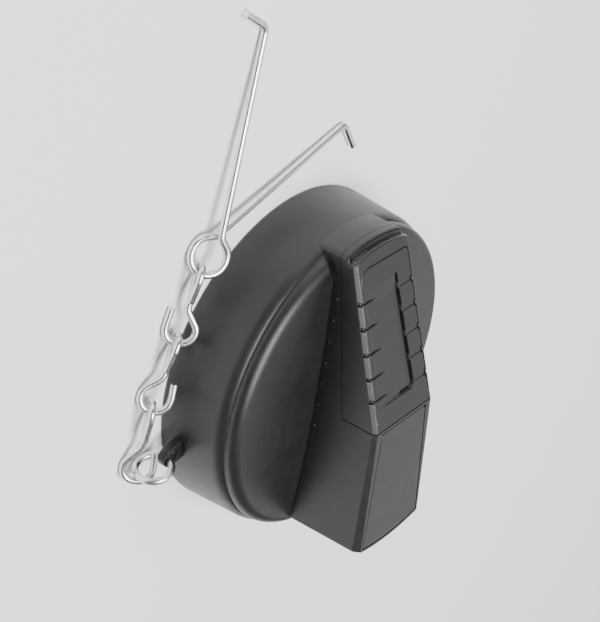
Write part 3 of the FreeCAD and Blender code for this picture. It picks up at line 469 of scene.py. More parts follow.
NODES_OF = {
    Finish.LOCK: ("lock_housing",),
    Finish.BRASS: ("lock_plug", "lock_wafers"),
    Finish.STEEL: ("lock_nut", "lock_cam", "cam_pin", "lock_bolt", "bayonet_plate", "plate_screws",
                   "flange_screws"),
    Finish.SPRING: ("plug_clip", "stop_ring", "main_spring", "vent_spring"),
    Finish.SPIGOT: ("bayonet_body", "vent_cage"),
    Finish.PLATE: ("pressure_plate",),
    Finish.RUBBER: ("flange_gasket", "seal_ring", "vent_disc"),
    Finish.WIRE: ("chain_ring", "chain_link_1", "chain_link_2", "chain_link_3", "wire_anchor"),
}


class Wardrobe:
    """Makes each finish once and puts it on pieces."""

    def __init__(self) -> None:
        """Start with no finish made."""
        self.made: dict[Finish, Material] = {}

    def dress(self, finish: Finish, *pieces: Piece) -> list[Piece]:
        """Put a finish, made on its first use, on pieces as their only material, and return the pieces."""
        if finish not in self.made:
            self.made[finish] = FINISHES[finish].material(finish.value)
        for piece in pieces:
            piece.data.materials.clear()
            piece.data.materials.append(self.made[finish])
        return list(pieces)


def held_round(distance: Array, radius: float) -> Array:
    """How far a quarter-round edge lies behind its corner, at a distance from the corner's end plane."""
    left = np.clip(radius - distance, 0.0, radius)
    return radius - np.sqrt(radius ** 2 - left ** 2)


def end_stations(radius: float, count: int = 8) -> Array:
    """Distances from an end plane that follow a rounding evenly, out to its radius."""
    return radius * (1 - np.sin(math.pi / 2 * np.linspace(0, 1, count)))[::-1]


@dataclass(frozen=True)
class BarForm:
    """The handle bar's form, shared by its body, sliding cover and lid: a ribbed ramp and a wide low end."""

    crest_x: float = 1.2
    crest_z: float = 53.67
    ramp_slope: float = 0.342
    low_slope: float = 0.046
    low_end_x: float = 47.5
    top_end_x: float = -54.7
    flat_top_end: float = 13.0
    flat_crest: float = 14.67
    flat_low_end: float = 16.1
    bevel_top_end: float = 1.1
    bevel_crest: float = 1.3
    bevel_low_end: float = 2.1
    lid_crest: float = 12.1
    lid_low_end: float = 15.45
    seat_end: float = 1.0
    bow_x: float = 30.0
    low_runs: tuple = ((6, 30, 6), (30, 45, 2.5))
    draft: float = 0.035
    end_draft: float = 0.025
    root_z: float = 21.2
    hidden_z: float = 26.6
    front_r: float = 56.0
    end_bow: float = 2.4
    end_round: float = 76.0
    edge_slope: float = 0.2
    edge_z: float = 40.4
    bend_length: float = 4.5
    corner: float = 1.5

    def ramp_z(self, x: Array) -> Array:
        """Height of the ramp's top: the crest's height less the slope times the way from the crest."""
        return self.crest_z + self.ramp_slope * (x - self.crest_x)

    def low_z(self, x: Array) -> Array:
        """Height of the low end's top."""
        return self.crest_z + self.low_slope * (x - self.crest_x)

    def ramp_share(self, x: Array) -> Array:
        """How far x lies from the narrow end's top to the crest, as a share."""
        return (x - self.top_end_x) / (self.crest_x - self.top_end_x)

    def ramp_flat(self, x: Array) -> Array:
        """Half the width of the ramp's flat top."""
        return between(self.flat_top_end, self.flat_crest, self.ramp_share(x))

    def ramp_bevel(self, x: Array) -> Array:
        """Width of the bevel beside the ramp's flat top."""
        return between(self.bevel_top_end, self.bevel_crest, self.ramp_share(x))

    def ramp_half(self, x: Array) -> Array:
        """Half the width of the ramp at its knee."""
        return self.ramp_flat(x) + self.ramp_bevel(x)

    def low_share(self, x: Array) -> Array:
        """How far x lies from the crest to the low end, as a share."""
        return (x - self.crest_x) / (self.low_end_x - self.crest_x)

    def low_flat(self, x: Array) -> Array:
        """Half the width of the low end's flat top."""
        return between(self.flat_crest, self.flat_low_end, self.low_share(x))

    def low_bevel(self, x: Array) -> Array:
        """Width of the bevel beside the low end's flat top."""
        return between(self.bevel_crest, self.bevel_low_end, self.low_share(x))

    def lid_half(self, x: Array) -> Array:
        """Half the width of the lid's seat."""
        return between(self.lid_crest, self.lid_low_end, self.low_share(x))

    def slide_edge(self, x: Array) -> Array:
        """Height of the sliding cover's lower edge, which runs along its travel."""
        return self.edge_z + self.edge_slope * (x - self.crest_x)

    def ramp_side(self, x: Array, z: Array) -> Array:
        """Half the width of the ramp's side at a height: the knee's, and the draft below the knee."""
        return self.ramp_half(x) + self.draft * (self.ramp_z(x) - self.ramp_bevel(x) - z)

    def low_side(self, x: Array, z: Array) -> Array:
        """Half the width of the low end's side face at a height."""
        return self.low_flat(x) + self.low_bevel(x) + self.draft * (self.low_z(x) - self.low_bevel(x) - z)

    def front_shift(self, y: Array) -> Array:
        """How far the rounded front end lies behind its foremost point at a half width."""
        return self.front_r - np.sqrt(np.maximum(self.front_r ** 2 - y ** 2, 0.0))

    def front_share(self, x: Array) -> Array:
        """How much a point takes part in the front's bend: 1 at the front, 0 behind the bend's length."""
        return np.clip((self.bend_length - self.front_r - x) / self.bend_length, 0.0, 1.0)

    def end_shift(self, y: Array) -> Array:
        """How far the bowed low end lies beyond its straight place at a half width."""
        return self.end_bow - self.end_round + np.sqrt(self.end_round ** 2 - y ** 2)

    def bow_share(self, x: Array) -> Array:
        """How much a point takes part in the low end's bow: 0 up to bow_x, 1 from the lid's seat's end on."""
        return np.clip((x - self.bow_x) / (self.low_end_x - self.seat_end - self.bow_x), 0, 1)


def edge_line(knee_half: Array, knee_z: Array, flat: Array, top: Array, draft: float) -> Array:
    """The left edge of a bevelled top: from below the knee, round it, up the bevel and onto the flat.

    Args:
        knee_half: Half the width at the knee, one for each station.
        knee_z: The knee's height.
        flat: Half the width of the flat top.
        top: The flat top's height.
        draft: How much the side leans.

    Returns:
        The points' y, z and wear, stations by points by 3.
    """
    below, knee_r, top_r = 1.6, 0.45, 0.35
    start = (-(knee_half + draft * below), knee_z - below)
    corners = [start, (-knee_half, knee_z), (-flat, top), (0 * flat, top)]
    outline = np.stack([np.stack(corner, axis=-1) for corner in corners], axis=1)
    points, wear = round_corners(outline, (0, knee_r, top_r, 0))
    each = EDGE_STEPS + 3
    return np.concatenate([points, wear[..., None]], axis=-1)[:, each:3 * each]


@dataclass(frozen=True)
class CapCover:
    """The cover: skirt, valley, crown and dome, channels by the handle's narrow end, and the chain's eye."""

    rim_r: float = 57.0
    skirt_top_r: float = 55.6
    skirt_h: float = 21.7
    foot_r: float = 54.3
    foot_z: float = 24.4
    crown_round: float = 3.8
    crease_z: float = 23.2
    crease_low: Point = (54.0, 23.45)
    crease_middle: Point = (54.05, 23.9)
    shoulder_h: float = 3.7
    shoulder_middle: Point = (55.33, 21.47)
    rim_edge: float = 0.5
    rim_wear: float = 0.8
    dome_rise: float = 1.6
    wall: float = 2.6
    ceiling_z: float = 25.4
    channel_x: float = -43.0
    channel_w: float = 2.5
    channel_wall: float = 1.5
    channel_slope: float = 0.5
    channel_start: float = 0.6
    eye_deg: float = -79.0
    eye_reach: float = 4.3
    eye_hole_r: float = 2.6
    eye_rim: float = 0.9
    eye_z: float = 5.35
    eye_t: float = 3.0
    eye_round: float = 0.35
    eye_step: float = 0.45

    def outer_profile(self) -> tuple[Array, Array]:
        """The radius and height from the dome's middle down to the rim's bottom, with each point's wear."""
        crown_r = self.foot_r - self.crown_round
        crown_z = self.foot_z + self.crown_round
        lean = math.sin(math.pi / 4) * self.crown_round
        ball = (crown_r ** 2 + self.dome_rise ** 2) / (2 * self.dome_rise)
        radius = runs((0, 38, 3.0), (38.3, crown_r, 0.3))
        dome = np.stack([radius, crown_z + self.dome_rise - ball + np.sqrt(ball ** 2 - radius ** 2)], axis=-1)
        foot = (self.foot_r, self.foot_z)
        crown = arc_through((crown_r, crown_z), (crown_r + lean, self.foot_z + lean), foot, 17)
        valley = arc_through(foot, self.crease_middle, self.crease_low, 6)
        start_z = self.crease_z - self.shoulder_h
        start_r = self.rim_r - (self.rim_r - self.skirt_top_r) * start_z / self.skirt_h
        shoulder = arc_through((self.foot_r, self.crease_z), self.shoulder_middle, (start_r, start_z), 12)
        skirt = np.linspace(shoulder[-1], (self.rim_r, self.rim_edge + 0.1), 6)
        edge = self.rim_edge
        inset = 0.3 * edge
        rim = arc_through((self.rim_r, edge), (self.rim_r - inset, inset), (self.rim_r - edge, 0), 5)
        points = np.concatenate([dome, crown[1:], valley[1:], shoulder, skirt[1:], rim])
        wear = np.zeros(len(points))
        wear[-len(rim):] = self.rim_wear
        return points, wear

    def inner_profile(self) -> Array:
        """The radius and height from the rim's bottom up the inside wall and in under the ceiling."""
        inner = self.rim_r - self.wall
        upper = self.skirt_top_r - self.wall
        crown_r = self.foot_r - self.crown_round
        turn = crown_r - self.wall / 2
        knots = [(inner + 0.4, 0), (inner, 0.4), (inner - 0.1, 1.0), (upper, self.skirt_h),
                 (turn + 0.5, self.ceiling_z - 0.6), (turn, self.ceiling_z), (crown_r - 3, self.ceiling_z),
                 (20, self.ceiling_z), (0, self.ceiling_z)]
        return np.array(knots, float)

    def shell(self, bar: BarForm) -> Piece:
        """Turn the profile about Z, and press the channels down beside the handle's narrow end.

        In a channel the height is the lesser of the dome's and a line that falls from channel_x outwards. The
        stations are close together where the channels are.
        """
        degrees = runs((-154, 154, 1.0), (154, 171, 0.16), (171, 189, 1.0), (189, 206, 0.16))
        angle = np.radians(np.round(degrees, 4))[:-1]

        def turned(profile: Array) -> Array:
            """A profile's points at every angle."""
            return spread(profile[:, :1] * np.cos(angle), profile[:, :1] * np.sin(angle), profile[:, 1:])

        outer, wear = self.outer_profile()
        skin = turned(outer)
        x, y, height = (skin[..., axis] for axis in range(3))
        start = self.foot_z + self.crown_round + self.channel_start
        floor = start + self.channel_slope * (x - self.channel_x)
        wall_y = bar.ramp_half(self.channel_x) + self.channel_w
        inside = smooth((wall_y - np.abs(y)) / self.channel_wall) * (x < self.channel_x)
        on_top = (outer[:, 1] > self.foot_z - 1.5)[:, None]
        pressed = np.minimum(height, np.maximum(floor, self.foot_z - 1.0))
        skin[..., 2] = np.where(on_top, height + (pressed - height) * inside, height)
        patch = Patchwork().grid(skin, wrap_cols=True, wear=wear[:, None])
        inner = np.concatenate([skin[-1:], turned(self.inner_profile())])
        return patch.grid(inner, wrap_cols=True).make("cap_shell")

    def eye(self) -> Piece:
        """The eye on the skirt: rings round the hole, out to a circle that goes over into a bar to the skirt.

        At each angle the bar's edge is where the ray meets its side or its hidden end.
        """
        tip = self.eye_hole_r + self.eye_rim
        hidden = self.eye_reach + self.wall / 2
        angle = np.radians(runs((0, 360, 3.0)))[:-1]
        c, s = np.cos(angle), np.sin(angle)
        side = tip / np.maximum(np.abs(s), TINY)
        end = hidden / np.maximum(-c, TINY)
        outer = np.where(c < 0, np.minimum(side, end), tip)
        r = self.eye_round
        rise = np.array([0, 0, r * 0.3, r, self.eye_t - r, self.eye_t - r * 0.3, self.eye_t, self.eye_t])
        back = np.minimum([1.0, r, r * 0.3, 0, 0, r * 0.3, r, 1.0], self.eye_step)[:, None]
        reach = np.concatenate([(self.eye_hole_r + back + 0 * angle)[::-1], outer[None, :] - back])
        z = np.concatenate([rise[::-1], rise]) + self.eye_z
        along = self.rim_r + self.eye_reach + reach * c
        across = reach * s
        turn = math.radians(self.eye_deg)
        x = along * math.cos(turn) - across * math.sin(turn)
        y = along * math.sin(turn) + across * math.cos(turn)
        return Patchwork().grid(spread(x, y, z[:, None]), wrap_rows=True, wrap_cols=True).make("chain_eye")

    def build(self, bar: BarForm, wardrobe: Wardrobe) -> list[Piece]:
        """Make the cover's own pieces and dress them."""
        return wardrobe.dress(Finish.COVER, self.shell(bar), self.eye())


@dataclass(frozen=True)
class HandleBody:
    """The handle bar's fixed part: its foot, low end with the lid's seat, and deck with the lock's well."""

    edge_round: float = 0.45
    end_corner: float = 0.9
    seat_depth: float = 2.0
    seat_wall: float = 0.6
    lean: float = 0.33
    lean_z: float = 27.0
    lean_h: float = 6.0
    foot_r: tuple[float, ...] = (50.0, 53.2, 55.2)
    foot_z: tuple[float, ...] = (26.6, 23.4, 19.6)
    side_wall: float = 2.25
    front_wall: float = 3.65
    plate: float = 2.65
    lock_x: float = -10.5
    well_r: float = 9.2
    well_floor_z: float = 39.4
    deck_bottom_z: float = 33.0
    deck_round: float = 0.4
    groove_half: float = 10.65
    groove_h: float = 2.1
    groove_x0: float = -41.3
    groove_x1: float = 0.6
    pip_r: float = 0.55
    pip_z: float = 30.8
    pip_first_x: float = -39.1
    pip_pitch: float = 7.92
    pip_count: int = 7

    def foot(self, bar: BarForm) -> Piece:
        """The bar below the sliding cover, down to the skirt in front and to the dome elsewhere.

        A point's height runs from the hidden bottom to the sliding cover's edge. Its place along X is bent by
        the front circle's sagitta, and leans in below the skirt's top, so that the front is flush with it.
        """
        behind = runs((-54.2, -50, 0.35), (-49, bar.crest_x, 3.0))
        x = np.concatenate([end_stations(bar.corner) - bar.front_r, behind])

        def place(u: Array, t: Array, v: Array) -> Array:
            """Points of the foot at a station, a level and a column."""
            first = between(bar.root_z, bar.slide_edge(u), t)
            y = v * (bar.ramp_side(u, first) - held_round(u + bar.front_r, bar.corner))
            lean = self.lean * smooth((self.lean_z - first) / self.lean_h)
            moved = u + bar.front_share(u) * (bar.front_shift(y) + lean)
            low = np.interp(np.hypot(moved, y), self.foot_r, self.foot_z)
            return spread(moved, y, between(low, bar.slide_edge(moved), t))

        return Patchwork().block(place, x, runs((0, 1, 0.06)), runs((-1, 1, 0.05))).make("handle_foot")

    def low_end(self, bar: BarForm) -> Piece:
        """The wide low end: a bevelled section with the lid's seat, carried along X to the bowed end face."""
        seat = bar.crest_x + bar.seat_end
        stop = bar.low_end_x - bar.seat_end
        near_end = bar.low_end_x - end_stations(self.end_corner)
        near_start = [bar.crest_x, seat, seat + 0.01]
        x = np.unique(np.concatenate([near_start, runs(*bar.low_runs), [stop - 0.01, stop], near_end]))
        from_end = bar.low_end_x - x
        corner = held_round(from_end, self.end_corner)
        top = bar.low_z(x) - held_round(from_end, self.edge_round)
        flat = bar.low_flat(x) - corner
        knee_half = bar.low_flat(x) + bar.low_bevel(x) - corner
        edge = edge_line(knee_half, top - bar.low_bevel(x), flat, top, bar.draft)
        lip = bar.lid_half(x)[:, None]
        across = np.concatenate([[-1.0, -0.9995], runs((-0.99, 0.99, 0.06)), [0.9995, 1.0]])[None, :]
        in_seat = ((x > seat + 0.005) & (x < stop - 0.005))[:, None] & (np.abs(across) < 0.9999)
        roof_y = across * np.minimum(lip, flat[:, None] - self.seat_wall)
        roof = spread(roof_y, top[:, None] - self.seat_depth * in_seat, 0)
        mirrored = edge[:, ::-1] * np.array([-1.0, 1.0, 1.0])
        line = np.concatenate([edge, roof, mirrored], axis=1)
        wall_half = -line[:, 0, 0]
        wall_z = line[:, 0, 1]

        def place(i: Array, t: Array, k: Array) -> Array:
            """Points of the low end at a station's number, a level and a column's number."""
            y_top, z_top, wear = (line[i, k, axis] for axis in range(3))
            z = between(bar.hidden_z, z_top, t)
            on_wall = np.minimum(between(bar.hidden_z, wall_z[i], t), wall_z[i])
            y = y_top * (bar.low_side(x[i], on_wall) - corner[i]) / wall_half[i]
            lean = bar.end_draft * (bar.low_z(bar.low_end_x) - z)
            moved = x[i] + bar.bow_share(x[i]) * (bar.end_shift(np.clip(y, -20, 20)) + lean)
            return spread(moved, y, z, wear * (t > 0.999))

        patch = Patchwork().block(place, np.arange(len(x)), runs((0, 1, 0.1)), np.arange(line.shape[1]))
        return patch.make("handle_low_end")

    def reach(self, angle: Array, half: float, slope: float, back_x: float) -> Array:
        """How far a ray from the lock's axis goes to a block's slanting side or its back, the nearer one."""
        c, s = np.cos(angle), np.sin(angle)
        side = half / np.maximum(np.abs(s) - slope * c, TINY)
        back = np.where(c > TINY, (back_x - self.lock_x) / np.maximum(c, TINY), FAR_MM)
        return np.minimum(side, back)

    def deck(self, bar: BarForm) -> Piece:
        """The block under the sliding cover, as rings round the lock's axis.

        The rings go out along the bottom, up past the lips' groove to the deck, in over the rim and down the
        well. The block has a round front about the origin, and the lips' groove a flat one.
        """
        slope = (bar.ramp_half(bar.crest_x) - bar.ramp_half(bar.top_end_x)) / (bar.crest_x - bar.top_end_x)
        half = bar.ramp_half(self.lock_x) - self.side_wall
        angle = np.radians(runs((0, 360, 1.0)))[:-1]
        c, s = np.cos(angle), np.sin(angle)
        middle = self.lock_x * c
        round_front = np.sqrt(middle ** 2 + (bar.front_r - self.front_wall) ** 2 - self.lock_x ** 2) - middle
        flat_front = np.where(c < -TINY, (self.groove_x0 - self.lock_x) / np.minimum(c, -TINY), FAR_MM)
        block = np.minimum(self.reach(angle, half, slope, bar.crest_x), round_front)
        notch = np.minimum(self.reach(angle, self.groove_half, 0.0, self.groove_x1), flat_front)
        narrow = np.where(np.abs(s) * block > self.groove_half, np.minimum(block, notch), block)

        def ring(reach: Array, surface: Callable[[Array], Array], offset: float) -> Array:
            """One ring at a reach from the lock's axis, at an offset from a surface's height."""
            x = self.lock_x + reach * c
            return spread(x, reach * s, surface(x) + offset)

        def deck_z(x: Array) -> Array:
            """Height of the deck, a plate's thickness below the ramp."""
            return bar.ramp_z(x) - self.plate

        edge, zero = bar.slide_edge, np.zeros_like
        none = 0 * angle
        well = none + self.well_r
        r, near, wide = self.deck_round, 0.3 * self.deck_round, 3 * self.deck_round
        rows = [(none, zero, self.deck_bottom_z), (block, edge, -1.0), (block, edge, -0.02),
                (narrow, edge, -0.02), (narrow, edge, self.groove_h), (block, edge, self.groove_h),
                (block, deck_z, -r), (block - near, deck_z, -near), (block - r, deck_z, 0),
                (block - wide, deck_z, 0), (well + wide, deck_z, 0), (well + r, deck_z, 0),
                (well + near, deck_z, -near), (well, deck_z, -r), (well, zero, self.well_floor_z),
                (none, zero, self.well_floor_z)]
        rings = np.stack([ring(*row) for row in rows])
        return Patchwork().grid(rings, wrap_cols=True).make("lock_deck")

    def pips(self, bar: BarForm) -> Piece:
        """The row of small round pips on both side faces, each a half ball sunk into the face."""
        around = np.linspace(0, 2 * math.pi, 17)[:-1]
        rise = np.array([-0.5, 0.0, 0.3, 0.6, 0.85, 1.0]) * math.pi / 2
        rise[0] = -math.pi / 2
        patch = Patchwork()
        for side in (-1, 1):
            for index in range(self.pip_count):
                x0 = self.pip_first_x + self.pip_pitch * index
                y0 = bar.ramp_side(x0, self.pip_z) if x0 < bar.crest_x else bar.low_side(x0, self.pip_z)
                ring = np.cos(rise)[:, None] * self.pip_r
                x = x0 + ring * np.cos(around)
                z = self.pip_z + ring * np.sin(around)
                y = side * (y0 + np.sin(rise)[:, None] * self.pip_r * 0.6) + 0 * x
                patch.grid(np.stack([x, y, z], axis=-1), wrap_cols=True)
        return patch.make("side_pips", 60)

    def build(self, bar: BarForm, wardrobe: Wardrobe) -> list[Piece]:
        """Make the handle's fixed pieces and dress them."""
        return wardrobe.dress(Finish.COVER, self.foot(bar), self.low_end(bar), self.deck(bar), self.pips(bar))


@dataclass(frozen=True)
class LowEndLid:
    """The flat lid in the low end's seat."""

    gap: float = 0.28
    end_gap: float = 0.25
    thick: float = 1.95
    edge: float = 0.28
    start_corner: float = 1.5

    def build(self, bar: BarForm, wardrobe: Wardrobe) -> Piece:
        """Carry a section with round upper edges along X from the seat's start to its bowed end."""
        start = bar.crest_x + bar.seat_end + self.end_gap
        stop = bar.low_end_x - bar.seat_end - self.end_gap
        at_start = start + end_stations(self.start_corner)
        at_end = stop - end_stations(self.edge)
        x = np.unique(np.concatenate([at_start, runs(*bar.low_runs), at_end]))
        r = self.edge
        side = end_stations(r) / bar.lid_low_end
        columns = np.concatenate([side - 1, runs((-0.95, 0.95, 0.1)), 1 - side[::-1]])

        def place(u: Array, t: Array, v: Array) -> Array:
            """Points of the lid at a station, a level and a column."""
            corner = held_round(u - start, self.start_corner) + held_round(stop - u, r)
            drop = held_round(u - start, r) + held_round(stop - u, r)
            half = bar.lid_half(u) - self.gap - corner
            y = v * half
            z = bar.low_z(u) - self.thick + t * (self.thick - drop - held_round(half - np.abs(y), r))
            wear = 0.5 * (np.abs(v) > 0.98) * (t > 0.999)
            return spread(u + bar.bow_share(u) * bar.end_shift(y), y, z, wear)

        piece = Patchwork().block(place, x, np.array([0.0, 0.5, 1.0]), columns).make("low_end_lid")
        wardrobe.dress(Finish.COVER, piece)
        return piece


@dataclass(frozen=True)
class SlideCover:
    """The ribbed cover that slides over the lock: bevelled roof, side walls with lips, stepped front."""

    seam: float = 0.35
    foot_gap: float = 0.14
    plate: float = 2.4
    wall: float = 2.0
    front_wall: float = 3.4
    edge_round: float = 0.45
    step_back: float = 1.5
    step_z: float = 32.4
    step_round: float = 1.4
    undercut: float = 0.35
    rim: float = 0.4
    left_notches: tuple[float, ...] = (-40.3, -32.5, -24.4, -16.7, -9.4)
    right_notches: tuple[float, ...] = (-39.5, -31.6, -23.8, -16.0, -8.0)
    dash_gaps: tuple[float, ...] = (-39.8, -32.3, -24.0, -16.0)
    notch_w: float = 0.75
    notch_depth: float = 0.6
    edge_notch_w: float = 1.25
    edge_notch_depth: float = 1.0
    pit_l: float = 2.4
    pit_depth: float = 0.9
    faint_depth: float = 0.2
    outline_x: float = -50.1
    outline_inset: float = 0.6
    outline_left_r: float = 4.5
    outline_right_r: float = 1.6
    outline_w: float = 0.3
    outline_depth: float = 0.42
    pad_x0: float = -44.1
    pad_x1: float = -6.7
    pad_left: float = -11.6
    pad_right: float = 4.9
    pad_turn: float = 0.04
    pad_depth: float = 0.75
    pad_corner: float = 1.6
    pad_fade: float = 6.0
    pad_tilt: float = 0.12
    dash_gap_half: float = 0.8
    dash_w: float = 0.95
    dash_depth: float = 1.4
    lip_tip: float = 10.9
    stroke_y: float = -6.2
    stroke_fade: float = 3.2
    pit_inset: float = 1.15
    pit_half_w: float = 0.45
    faint_y: float = 5.4
    inset_runs: tuple = ((0.36, 0.9, 0.08), (1.0, 3.2, 0.16), (3.4, 4.4, 0.3))
    middle_runs: tuple = ((-7.9, -6.1, 0.3), (-5.7, 3.6, 0.6), (3.9, 6.4, 0.1), (6.7, 8.1, 0.35))
    station_runs: tuple = ((-54.2, -51.2, 0.3), (-51.0, -45.5, 0.11))
    lip_h: float = 1.6
    lip_l: float = 19.0

    def groove(self, distance: Array, width: float, depth: float) -> Array:
        """Depth of a round-edged groove: full near its middle, eased to nothing at half its width."""
        return depth * smooth((width / 2 + 0.1 - np.abs(distance)) / 0.24)

    def outline(self, x: Array, y: Array, flat: Array) -> Array:
        """Depth of the thin outline along a box with round corners, which is open at the crest."""
        radius = np.where(y < 0, self.outline_left_r, self.outline_right_r)
        across = np.abs(y) - (flat - self.outline_inset - radius)
        along = self.outline_x + radius - x
        from_line = corner_distance(across, along) - radius
        strength = np.where(y < 0, 0.6, 1.0) * smooth((-1.6 - x) / 0.5)
        return self.groove(from_line, self.outline_w, self.outline_depth) * strength

    def notches(self, x: Array, y: Array, flat: Array) -> Array:
        """Depth of the short notches: strokes across the left edge, pits and faint strokes along the right.

        Both edges have a nick at each notch.
        """
        cut = np.zeros_like(y)
        left = smooth((self.stroke_y - y) / self.stroke_fade)
        right = smooth((y - self.faint_y) / 0.8)
        beside = smooth((self.pit_half_w - np.abs(y - flat + self.pit_inset)) / 0.25)
        for place in self.left_notches:
            stroke = self.groove(x - place, self.notch_w, self.notch_depth) * left
            cut = np.maximum(cut, np.maximum(stroke, self.nick(x - place, -flat - y)))
        for place in self.right_notches:
            pit = self.pit_depth * smooth((self.pit_l / 2 - np.abs(x - place)) / 0.3) * beside
            faint = self.groove(x - place, self.notch_w, self.faint_depth) * right
            cut = np.maximum(cut, np.maximum(np.maximum(pit, faint), self.nick(x - place, y - flat)))
        return cut

    def nick(self, distance: Array, beyond: Array) -> Array:
        """Depth of a nick in an edge, at a distance along the edge and at a distance beyond it."""
        return self.groove(distance, self.edge_notch_w, self.edge_notch_depth) * smooth((beyond + 0.6) / 0.5)

    def pad(self, x: Array, y: Array) -> Array:
        """Depth of the sunk thumb pad, which tilts down to its right wall, and of the broken groove there."""
        wall_y = self.pad_right + self.pad_turn * (x - self.pad_x0)
        along = smooth((x - self.pad_x0) / self.pad_fade) * smooth((self.pad_x1 - x) / 0.3)
        share = np.clip((y - self.pad_left) / (self.pad_right - self.pad_left), 0, 1)
        tilt = self.pad_tilt + (1 - self.pad_tilt) * share
        sunk = self.pad_depth * tilt * along * smooth((wall_y - y) / 0.3) * smooth((y - self.pad_left) / 0.4)
        across = y - wall_y + self.pad_corner
        end = x - self.pad_x1 + self.pad_corner
        fade = between(0.2, 1.0, smooth((y + 2.0) / 3.5)) * smooth((y + 9.5) / 1.5)
        shown = smooth((x - self.pad_x0) / 0.4) * fade
        for place in self.dash_gaps:
            shown = shown * smooth((np.abs(x - place) - self.dash_gap_half) / 0.35)
        from_line = corner_distance(across, end) - self.pad_corner
        dash = self.groove(from_line, self.dash_w, self.dash_depth) * shown
        return np.maximum(sunk, dash)

    def depth(self, x: Array, y: Array, flat: Array) -> Array:
        """How deep the roof is carved: the pad, and on it the deeper of the outline and the notches."""
        pad = self.pad(x, y)
        other = np.maximum(self.outline(x, y, flat), self.notches(x, y, flat))
        return np.minimum(np.where(pad > 1.0, np.maximum(pad, other), pad + other), self.dash_depth)

    def stations(self, bar: BarForm) -> Array:
        """The stations along X, close together at the front, the carvings, the lips and the hollow."""
        last = bar.crest_x - self.seam
        near = np.array([-0.7, -0.55, -0.42, -0.3, 0, 0.3, 0.42, 0.55, 0.7])
        wide = np.array([-1.3, -1.1, -0.95, -0.8, 0.8, 0.95, 1.1, 1.3])
        after = np.array([0, 0.1, 0.2, 0.3, 0.5, 0.7])
        groups = [(self.left_notches, near), (self.right_notches, near), (self.right_notches, wide),
                  (self.dash_gaps, wide), ((self.pad_x0, self.pad_x1), after)]
        places = [np.add.outer(centres, offsets).ravel() for centres, offsets in groups]
        lips = [last - self.lip_l, last - self.lip_l + 0.01, last - 1.0, last - 0.99]
        hollow = self.front_wall - bar.front_r
        even = runs(*self.station_runs, (-45.3, last - 0.3, 0.45))
        x = np.concatenate([even, *places, lips, [hollow - 0.01, hollow + 0.01]])
        x = np.unique(np.round(x[x < last - 0.05], 4))
        return np.concatenate([end_stations(bar.corner) - bar.front_r, x, [last - 0.05, last]])

    def roof(self, x: Array, flat: Array, top: Array) -> Array:
        """The flat top's points: insets from both edges, and between them widths that follow the pad."""
        insets = runs(*self.inset_runs)
        middle = runs(*self.middle_runs)
        follows = np.clip(np.minimum((middle + 2.0) / 5.0, (9.2 - middle) / 2.0), 0, 1)
        turned = middle + self.pad_turn * follows * np.maximum(x - self.pad_x0, 0)[:, None]
        flat = flat[:, None]
        y = np.concatenate([insets - flat, turned, flat - insets[::-1]], axis=1)
        return spread(y, top[:, None], 0 * y)

    def build(self, bar: BarForm, wardrobe: Wardrobe) -> Piece:
        """Carry the wall's outline along X, carve the roof, and step the front back above the front wall.

        Each station has side levels from the lower edge to below the knee, then the roof's columns. A level's
        own setback is taken in full at the front and fades behind it. The inner outline has a point for each
        outer one. In front of the hollow it lies on the lower edge, so that the front is solid.
        """
        x = self.stations(bar)
        last = bar.crest_x - self.seam
        from_front = x + bar.front_r
        corner = held_round(from_front, bar.corner)
        flat = bar.ramp_flat(x) - corner
        top = bar.ramp_z(x) - held_round(from_front, self.edge_round)
        edge = edge_line(bar.ramp_half(x) - corner, top - bar.ramp_bevel(x), flat, top, bar.draft)
        mirrored = edge[:, ::-1] * np.array([-1.0, 1.0, 1.0])
        line = np.concatenate([edge, self.roof(x, flat, top), mirrored], axis=1)
        sunk = bar.ramp_z(x)[:, None] - line[..., 1]
        wall_half = -line[:, 0, 0]
        rise = self.step_round * np.sin(math.pi / 2 * np.linspace(0, 1, 5))
        above = [self.step_z + 0.1, self.step_z + 0.35]
        heights = np.concatenate([self.step_z - self.step_round + rise, above])
        deepest = self.step_back + self.undercut
        ledge = held_round(self.step_round - rise, self.step_round)
        behind = [deepest - 0.12, deepest, deepest - 0.5 * self.undercut, self.step_back, self.step_back]
        setback = np.concatenate([[0.0], ledge, behind])
        steps = len(heights)
        roof = steps + 3

        def place(i: Array, level: Array, k: Array) -> Array:
            """Points of the outer surface at a station's, a level's and a column's number."""
            u = x[i]
            y = line[i, k, 0]
            moved = u + bar.front_share(u) * (setback[level] + bar.front_shift(y))
            low = bar.slide_edge(moved) + self.foot_gap
            high = bar.ramp_z(moved) - sunk[i, k]
            least = low + 0.03 * level * (high - low)
            most = high - 2 * self.rim - 0.3 + 0.02 * level
            middle = np.clip(heights[np.clip(level - 1, 0, steps - 1)], least, most)
            z = np.select([level == 0, level == steps + 1, level == steps + 2, level == roof],
                          [low, high - 2 * self.rim, high - self.rim / 2, high], middle)
            side = bar.ramp_side(u, np.minimum(z, bar.ramp_z(u) - bar.ramp_bevel(u) - 0.5)) - corner[i]
            ratio = np.where(level == roof, 1.0, side / wall_half[i])
            return spread(moved, y * ratio, z, line[i, k, 2] * (level == roof))

